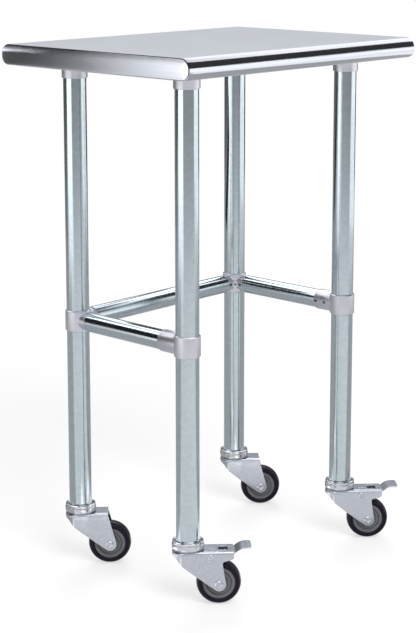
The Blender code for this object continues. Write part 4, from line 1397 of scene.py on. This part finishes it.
@dataclass
class Brake:
    """The foot brake of a front caster: a stamped pedal with a shoe, on a rivet across the fork."""

    caster: Caster
    sheet: float = 0.002
    edge_ease: float = 0.0004
    half: float = 0.0173
    pad_half: float = 0.019
    neck: float = 0.042
    neck_run: float = 0.002
    arm_rise: float = 0.0036
    step_start: float = 0.0385
    step_end: float = 0.0535
    pad_rise: float = 0.0140
    tip: float = 0.071
    tip_rise: float = 0.0146
    pedal_bend: float = 0.022
    bend_steps: int = 10
    pad_corner: float = 0.006
    corner_points: int = 9
    across_points: int = 9
    eye_wall: float = 0.0022
    eye_ease: float = 0.0003
    shoe_near: float = 0.012
    shoe_far: float = 0.024
    shoe_half: float = 0.010
    shoe_drop: float = 0.0062
    shoe_corner: float = 0.002
    shoe_ease: float = 0.0008

    def pedal_sheet(self) -> Grid:
        """The pedal's middle face: its bent side line carried across, at a width that follows the outline.

        The half width grows from the arm's to the pad's at the neck, and ends in quarter circles of
        pad_corner at the tip.

        Returns:
            The grid about the pivot, one row for each step along.
        """
        line = rounded_line(
            [(0, self.arm_rise, 0), (self.step_start / 2, self.arm_rise, 0),
             (self.step_start, self.arm_rise, self.pedal_bend),
             (self.step_end, self.pad_rise, self.pedal_bend),
             (self.tip - self.pad_corner, self.tip_rise, 0), (self.tip, self.tip_rise, 0)],
            steps=self.bend_steps)
        angles = np.linspace(0, pi / 2, self.corner_points)
        corner = self.tip - self.pad_corner * (1 - np.sin(angles))
        tail = np.stack([corner, np.full_like(corner, self.tip_rise)], axis=-1)
        line = np.concatenate([line[:-2], tail])
        grow = np.clip((line[:, 0] - self.neck) / self.neck_run, 0, 1)
        half = self.half + (self.pad_half - self.half) * grow
        over = np.clip(line[:, 0] - (self.tip - self.pad_corner), 0, self.pad_corner)
        half = half - self.pad_corner + np.sqrt(self.pad_corner ** 2 - over ** 2)
        across = half[:, None] * np.linspace(-1, 1, self.across_points)
        return np.stack(np.broadcast_arrays(line[:, :1], across, line[:, 1:]), axis=-1)

    def build(self) -> None:
        """The pedal with its eye and shoe, and the rivet that it turns on."""
        caster, name = self.caster, self.caster.corner.value
        place = joint_place(f"brake_{name}")
        body = f"pedal_{name}"
        bore = caster.pivot_radius + caster.gap
        eye = tube_profile(bore, bore + self.eye_wall, -self.half, self.half, self.eye_ease)
        outline = rounded_rectangle((self.shoe_far - self.shoe_near) / 2, self.shoe_half, self.shoe_corner)
        levels = eased_levels(-self.shoe_drop, self.arm_rise, self.shoe_ease)
        shoe = slab(outline, levels) + ((self.shoe_near + self.shoe_far) / 2, 0, 0)
        pad = Skin().add(placed(self.pedal_sheet(), caster.turn, place))
        # The cut edges get a pale finish that paints a highlight along them
        pedal = add_piece(f"pedal_{name}", pad, ZINC, body, [f"brake_pedal_{name}"],
                          [sheet_metal(self.sheet, 0.0, 1), eased_edges(self.edge_ease, 1)], ZINC_EDGE_HIGHLIGHT)
        inner = Skin().turned(eye, caster.along_axle, place, SMALL_SIDES)
        inner.add(placed(shoe, caster.turn, place), loop_columns=True)
        add_piece(f"pedal_shoe_{name}", inner, ZINC, body)
        rivet = mirrored_profile(
            caster.rivet(caster.pivot_radius, caster.pivot_head, caster.pivot_head_height)[1:])
        pivot = Skin().turned(rivet, caster.along_axle, place, SMALL_SIDES, closed=False)
        add_piece(f"pivot_{name}", pivot, ZINC, f"caster_{name}", [f"brake_pivot_{name}"])
        log.info("%s turns on pivot_%s", pedal.name, name)


# Studio

@dataclass(frozen=True)
class Card:
    """A curved card that stands round the table and shows only in reflections.

    It runs from one angle to another, in degrees round from +X, between two heights. One that lies flat,
    overhead or on the floor, has another radius at its second edge.
    """

    name: str
    start: float
    end: float
    low: float
    high: float
    level: float
    radius: float = 4.5
    upper_radius: Optional[float] = None
    colour: str = WHITE

    def grid(self) -> Grid:
        """Its surface: x = R cos(angle), y = R sin(angle), with R running from radius to upper_radius.

        Returns:
            The grid, one row for each step round.
        """
        angles = np.radians(np.linspace(self.start, self.end, CARD_STEPS + 1))[:, None]
        upper = self.radius if self.upper_radius is None else self.upper_radius
        radii, heights = np.array([[self.radius, upper]]), np.array([[self.low, self.high]])
        x, y = radii * np.cos(angles), radii * np.sin(angles)
        return np.stack(np.broadcast_arrays(x, y, heights), axis=-1)


@dataclass(frozen=True)
class Sheet:
    """A flat sheet that shows only in reflections, black unless it glows. Its corners go round it."""

    name: str
    corners: Corners
    level: float = BLACK_LEVEL

    @classmethod
    def flat(cls, name: str, x: Span, y: Span, height: float, level: float = BLACK_LEVEL) -> "Sheet":
        """A level rectangular sheet.

        Args:
            name: What it gives the metal.
            x: Its two ends in X.
            y: Its two ends in Y.
            height: Where it hangs.
            level: How bright it is, where 1 is white.

        Returns:
            The sheet.
        """
        corners = ((x[0], y[0]), (x[1], y[0]), (x[1], y[1]), (x[0], y[1]))
        return cls(name, tuple((*corner, height) for corner in corners), level)

    def grid(self) -> Grid:
        """Its surface: two rows of two corners."""
        first, second, third, fourth = self.corners
        return np.array([[first, second], [fourth, third]])


@dataclass(frozen=True)
class Lamp:
    """A soft square lamp: where it hangs, its side and its power in watts."""

    name: str
    place: tuple[float, float, float]
    size: float
    power: float


@dataclass
class Studio:
    """Floor, world, soft lamps and reflection cards.

    A card's numbers are its two angles, the heights of its foot and head, its level and the radii of its
    foot and head. A level sheet's are its ends in X and in Y, its height and its level. dim_edge is the
    edge of the grey floor card, as points (across the view, away from the camera).
    """

    floor_half: float = 30.0
    floor_colour: str = "#F4F4F4"
    floor_white: float = 0.6
    shadow_reach: float = 1.3
    shadow_end: float = 3.0
    shade_level: float = 0.55
    aim: tuple[float, float, float] = (0.0, 0.0, 0.5)
    lamps: tuple[Lamp, ...] = (
        Lamp("key", (-1.2, -3.0, 3.6), 2.2, 150.0),
        Lamp("rim", (2.6, 2.4, 3.4), 2.2, 90.0),
    )
    dim_edge: tuple[tuple[float, float], ...] = (
        (-4.2, -2.7), (-0.45, -0.30), (0.0, 0.20), (0.45, -0.13), (2.4, -0.70))
    dim_end: float = 4.2
    dim_level: float = 0.58
    sheets: tuple[Sheet, ...] = (
        Sheet.flat("roll_black", (-0.34, 0.85), (-0.62, -0.231), OVER_TOP, 0.04),
        Sheet.flat("end_black", (-0.80, -0.308), (0.05, 0.75), OVER_TOP),
        Sheet.flat("side_bars_black", (-2.6, -0.46), (0.26, 2.6), UNDER_TOP),
        Sheet("right_bar_black", ((-0.127, 0.245, 0.715), (0.125, 0.245, 0.545), (0.178, 0.245, 0.585),
                                  (0.016, 0.245, 0.849))),
        Sheet("rear_bar_black", ((0.36, -0.024, UNDER_TOP), (0.80, -0.024, UNDER_TOP),
                                 (1.65, -1.1, UNDER_TOP), (1.15, -1.1, UNDER_TOP))),
        Sheet.flat("side_bars_white", (-0.455, 0.85), (0.26, 0.75), UNDER_TOP, 3.0),
        Sheet.flat("rear_bar_white", (0.36, 0.85), (-0.02, 0.26), UNDER_TOP, 3.0),
        Sheet.flat("bend_white", (-1.1, 0.1), (-0.95, -0.30), UNDER_TOP, 2.8),
    )
    nose_glow: Card = Card("nose_glow", 178, 214, ON_FLOOR, ON_FLOOR, 2.2, 0.05, 0.25)
    cards: tuple[Card, ...] = (
        Card("left_white", 140, 188, 0.0, 1.0, 2.3),
        Card("left_floor", 140, 190, ON_FLOOR, ON_FLOOR, 1.7, 4.5, 2.9),
        Card("camera_floor", 190, 291, ON_FLOOR, ON_FLOOR, 0.75, 4.5, 3.1),
        Card("camera_low", 188, 291, 0.0, 0.30, 0.56),
        Card("camera_grey", 188, 291, 0.30, 1.3, 0.38),
        Card("camera_high", 188, 291, 1.9, 5.2, 1.25),
        Card("right_white", 291, 350, 0.0, 0.95, 1.75),
        Card("right_near", 295, 345, 0.47, 0.75, 1.55, 1.0),
        Card("rear_black", 350, 480, 0.0, 0.95, 0.06),
        Card("end_low", 60, 131, 0.0, 0.22, 0.48, 2.2),
        Card("end_mid", 60, 131, 0.22, 0.40, 0.31, 2.2),
        Card("end_grey", 60, 131, 0.40, 0.57, 0.19, 2.2),
        Card("end_dark", 60, 131, 0.57, 1.05, 0.14, 2.2),
        Card("plate_black", 131, 139.5, 0.52, 1.15, BLACK_LEVEL, 2.2),
        Card("bar_light", 133, 143, 0.05, 0.46, 1.0, 2.2),
        Card("rear_sky", 358, 455, 1.0, 2.3, 0.46, colour="#F1F5FF"),
        Card("high_white", 325, 425, 2.7, 5.2, 1.65),
        Card("ceiling", 0, 360, 5.2, 5.2, 1.2, upper_radius=0.0),
    )

    def emission(self, name: str, level: float, colour: str) -> bpy.types.Material:
        """A plain glowing material.

        Args:
            name: Its name.
            level: How bright it is, where 1 is white.
            colour: Its hue.

        Returns:
            The material.
        """
        made = bpy.data.materials.new(name)
        tree = empty_tree(made)
        glow = add_node(tree, "ShaderNodeEmission", {"Color": linear(colour), "Strength": level})
        add_node(tree, "ShaderNodeOutputMaterial", None, {"Surface": glow.outputs[0]})
        return made

    def stage_object(self, name: str, grid: Grid, material: bpy.types.Material) -> bpy.types.Object:
        """An object of the stage from one grid.

        Args:
            name: Its name.
            grid: Its surface.
            material: What it is made of.

        Returns:
            The object.
        """
        obj = bpy.data.objects.new(name, Skin().add(grid).mesh(name))
        bpy.context.scene.collection.objects.link(obj)
        obj.data.materials.append(material)
        return obj

    def shown_rays(self, tree: bpy.types.NodeTree) -> bpy.types.NodeSocket:
        """Tells the rays that show the background itself: camera, gloss and glass rays.

        Args:
            tree: The tree that asks.

        Returns:
            A socket that is one on those rays and nought on others.
        """
        path = add_node(tree, "ShaderNodeLightPath").outputs
        first = add_node(tree, "ShaderNodeMath", {"operation": "MAXIMUM"},
                         {0: path["Is Camera Ray"], 1: path["Is Glossy Ray"]})
        return add_node(tree, "ShaderNodeMath", {"operation": "MAXIMUM"},
                        {0: first.outputs[0], 1: path["Is Transmission Ray"]}).outputs[0]

    def build_floor(self) -> None:
        """The pale floor. Where it is seen it is mixed with plain white, and far off it is white alone."""
        made = bpy.data.materials.new("white floor")
        tree = empty_tree(made)
        paint = add_node(tree, "ShaderNodeBsdfDiffuse", {"Color": linear(self.floor_colour)})
        glow = add_node(tree, "ShaderNodeEmission", {"Strength": 1.0})
        place = add_node(tree, "ShaderNodeTexCoord").outputs["Object"]
        away = add_node(tree, "ShaderNodeVectorMath", {"operation": "LENGTH"}, {0: place})
        share = add_node(
            tree, "ShaderNodeMapRange",
            {"From Min": self.shadow_reach, "From Max": self.shadow_end, "To Min": self.floor_white,
             "To Max": 1.0},
            {"Value": away.outputs["Value"]})
        plain = add_node(tree, "ShaderNodeMath", {"operation": "MULTIPLY"},
                         {0: share.outputs["Result"], 1: self.shown_rays(tree)})
        mix = add_node(tree, "ShaderNodeMixShader", None,
                       {0: plain.outputs[0], 1: paint.outputs[0], 2: glow.outputs[0]})
        add_node(tree, "ShaderNodeOutputMaterial", None, {"Surface": mix.outputs[0]})
        line = np.array((-self.floor_half, self.floor_half))
        x, y = np.meshgrid(line, line, indexing="ij")
        self.stage_object("floor", np.stack([x, y, np.zeros_like(x)], axis=-1), made)

    def add_card(self, name: str, grid: Grid, level: float, colour: str = WHITE) -> None:
        """A card that gloss rays alone see.

        Args:
            name: What it gives the metal.
            grid: Its surface.
            level: How bright it is, where 1 is white.
            colour: Its hue.
        """
        obj = self.stage_object(f"card_{name}", grid, self.emission(name, level, colour))
        obj.visible_camera = False
        obj.visible_diffuse = False
        obj.visible_transmission = False
        obj.visible_shadow = False

    def build_cards(self) -> None:
        """The cards round the table and overhead, and those on the floor.

        A grey one lies behind, from a bent edge across the table's middle, so that the legs' sides show
        it and their middles show the white floor in front. A bright one lies before each caster's nose.
        Black and white sheets hang near the top, for the lines along the rolled edge and the brace's bars
        and for the light on the bends of the near forks.
        """
        for card in self.cards:
            self.add_card(card.name, card.grid(), card.level, card.colour)
        across, starts = np.array(self.dim_edge).T
        away = np.stack([starts, np.full_like(starts, self.dim_end)])
        flat = np.stack(np.broadcast_arrays(across, away, ON_FLOOR / 2), axis=-1)
        dim_floor = placed(flat, about_z(-radians(VIEW_BEARING)), (0, 0, 0))
        self.add_card("dim_floor", dim_floor, self.dim_level)
        for sheet in self.sheets:
            self.add_card(sheet.name, sheet.grid(), sheet.level)
        for corner in Corner:
            name = f"{self.nose_glow.name}_{corner.value}"
            self.add_card(name, self.nose_glow.grid() + Caster(corner).foot, self.nose_glow.level)

    def build_world(self) -> None:
        """A white world where it is seen, and a softer one where it only lights."""
        world = bpy.data.worlds.new("studio")
        bpy.context.scene.world = world
        tree = empty_tree(world)
        white = linear(WHITE)
        fill = add_node(tree, "ShaderNodeBackground", {"Color": white, "Strength": self.shade_level})
        seen = add_node(tree, "ShaderNodeBackground", {"Color": white, "Strength": 1.0})
        mix = add_node(tree, "ShaderNodeMixShader", None,
                       {0: self.shown_rays(tree), 1: fill.outputs[0], 2: seen.outputs[0]})
        add_node(tree, "ShaderNodeOutputWorld", None, {"Surface": mix.outputs[0]})

    def add_lamp(self, lamp: Lamp) -> None:
        """Hangs a lamp so that it faces the table's middle.

        Args:
            lamp: The lamp.
        """
        data = bpy.data.lights.new(lamp.name, "AREA")
        data.shape = "SQUARE"
        data.size = lamp.size
        data.energy = lamp.power
        obj = bpy.data.objects.new(lamp.name, data)
        bpy.context.scene.collection.objects.link(obj)
        turn = aimed(np.array(lamp.place) - self.aim)
        obj.visible_glossy = False
        obj.matrix_world = Matrix([[*turn[i], lamp.place[i]] for i in range(3)] + [[0, 0, 0, 1]])

    def build(self) -> None:
        """The whole studio."""
        bpy.context.scene.view_settings.view_transform = "Standard"
        self.build_floor()
        self.build_cards()
        self.build_world()
        for lamp in self.lamps:
            self.add_lamp(lamp)
        log.info("studio: %d cards, %d sheets, %d lamps",
                 len(self.cards), len(self.sheets), len(self.lamps))


@dataclass
class Camera:
    """The photograph's viewpoint, with the lens in pixels of the photograph."""

    place: tuple[float, float, float] = (-2.218, -2.040, 1.202)
    dip: float = 9.98
    focal_px: float = 1660.0
    centre_px: float = 210.4
    shift_up: float = -0.18

    def build(self) -> None:
        """The camera. Its lens is the focal length in pixels times the sensor over the long side."""
        data = bpy.data.cameras.new("camera")
        data.sensor_width = SENSOR
        data.lens = self.focal_px * SENSOR / IMAGE_HEIGHT
        data.shift_x = (IMAGE_WIDTH / 2 - self.centre_px) / IMAGE_HEIGHT
        data.shift_y = self.shift_up
        obj = bpy.data.objects.new("camera", data)
        obj.location = self.place
        obj.rotation_euler = (pi / 2 - radians(self.dip), 0, -radians(VIEW_BEARING))
        bpy.context.scene.collection.objects.link(obj)
        bpy.context.scene.camera = obj
        log.info("camera: %.1f mm lens", data.lens)


def main() -> None:
    """Builds the table, then the studio round it."""
    logging.basicConfig(level=logging.INFO, format="%(name)s %(message)s")
    TableTop().build()
    for corner in Corner:
        Leg(corner).build()
    Brace().build()
    for corner in Corner:
        Caster(corner).build()
    Studio().build()
    Camera().build()


if __name__ == "__main__":
    main()
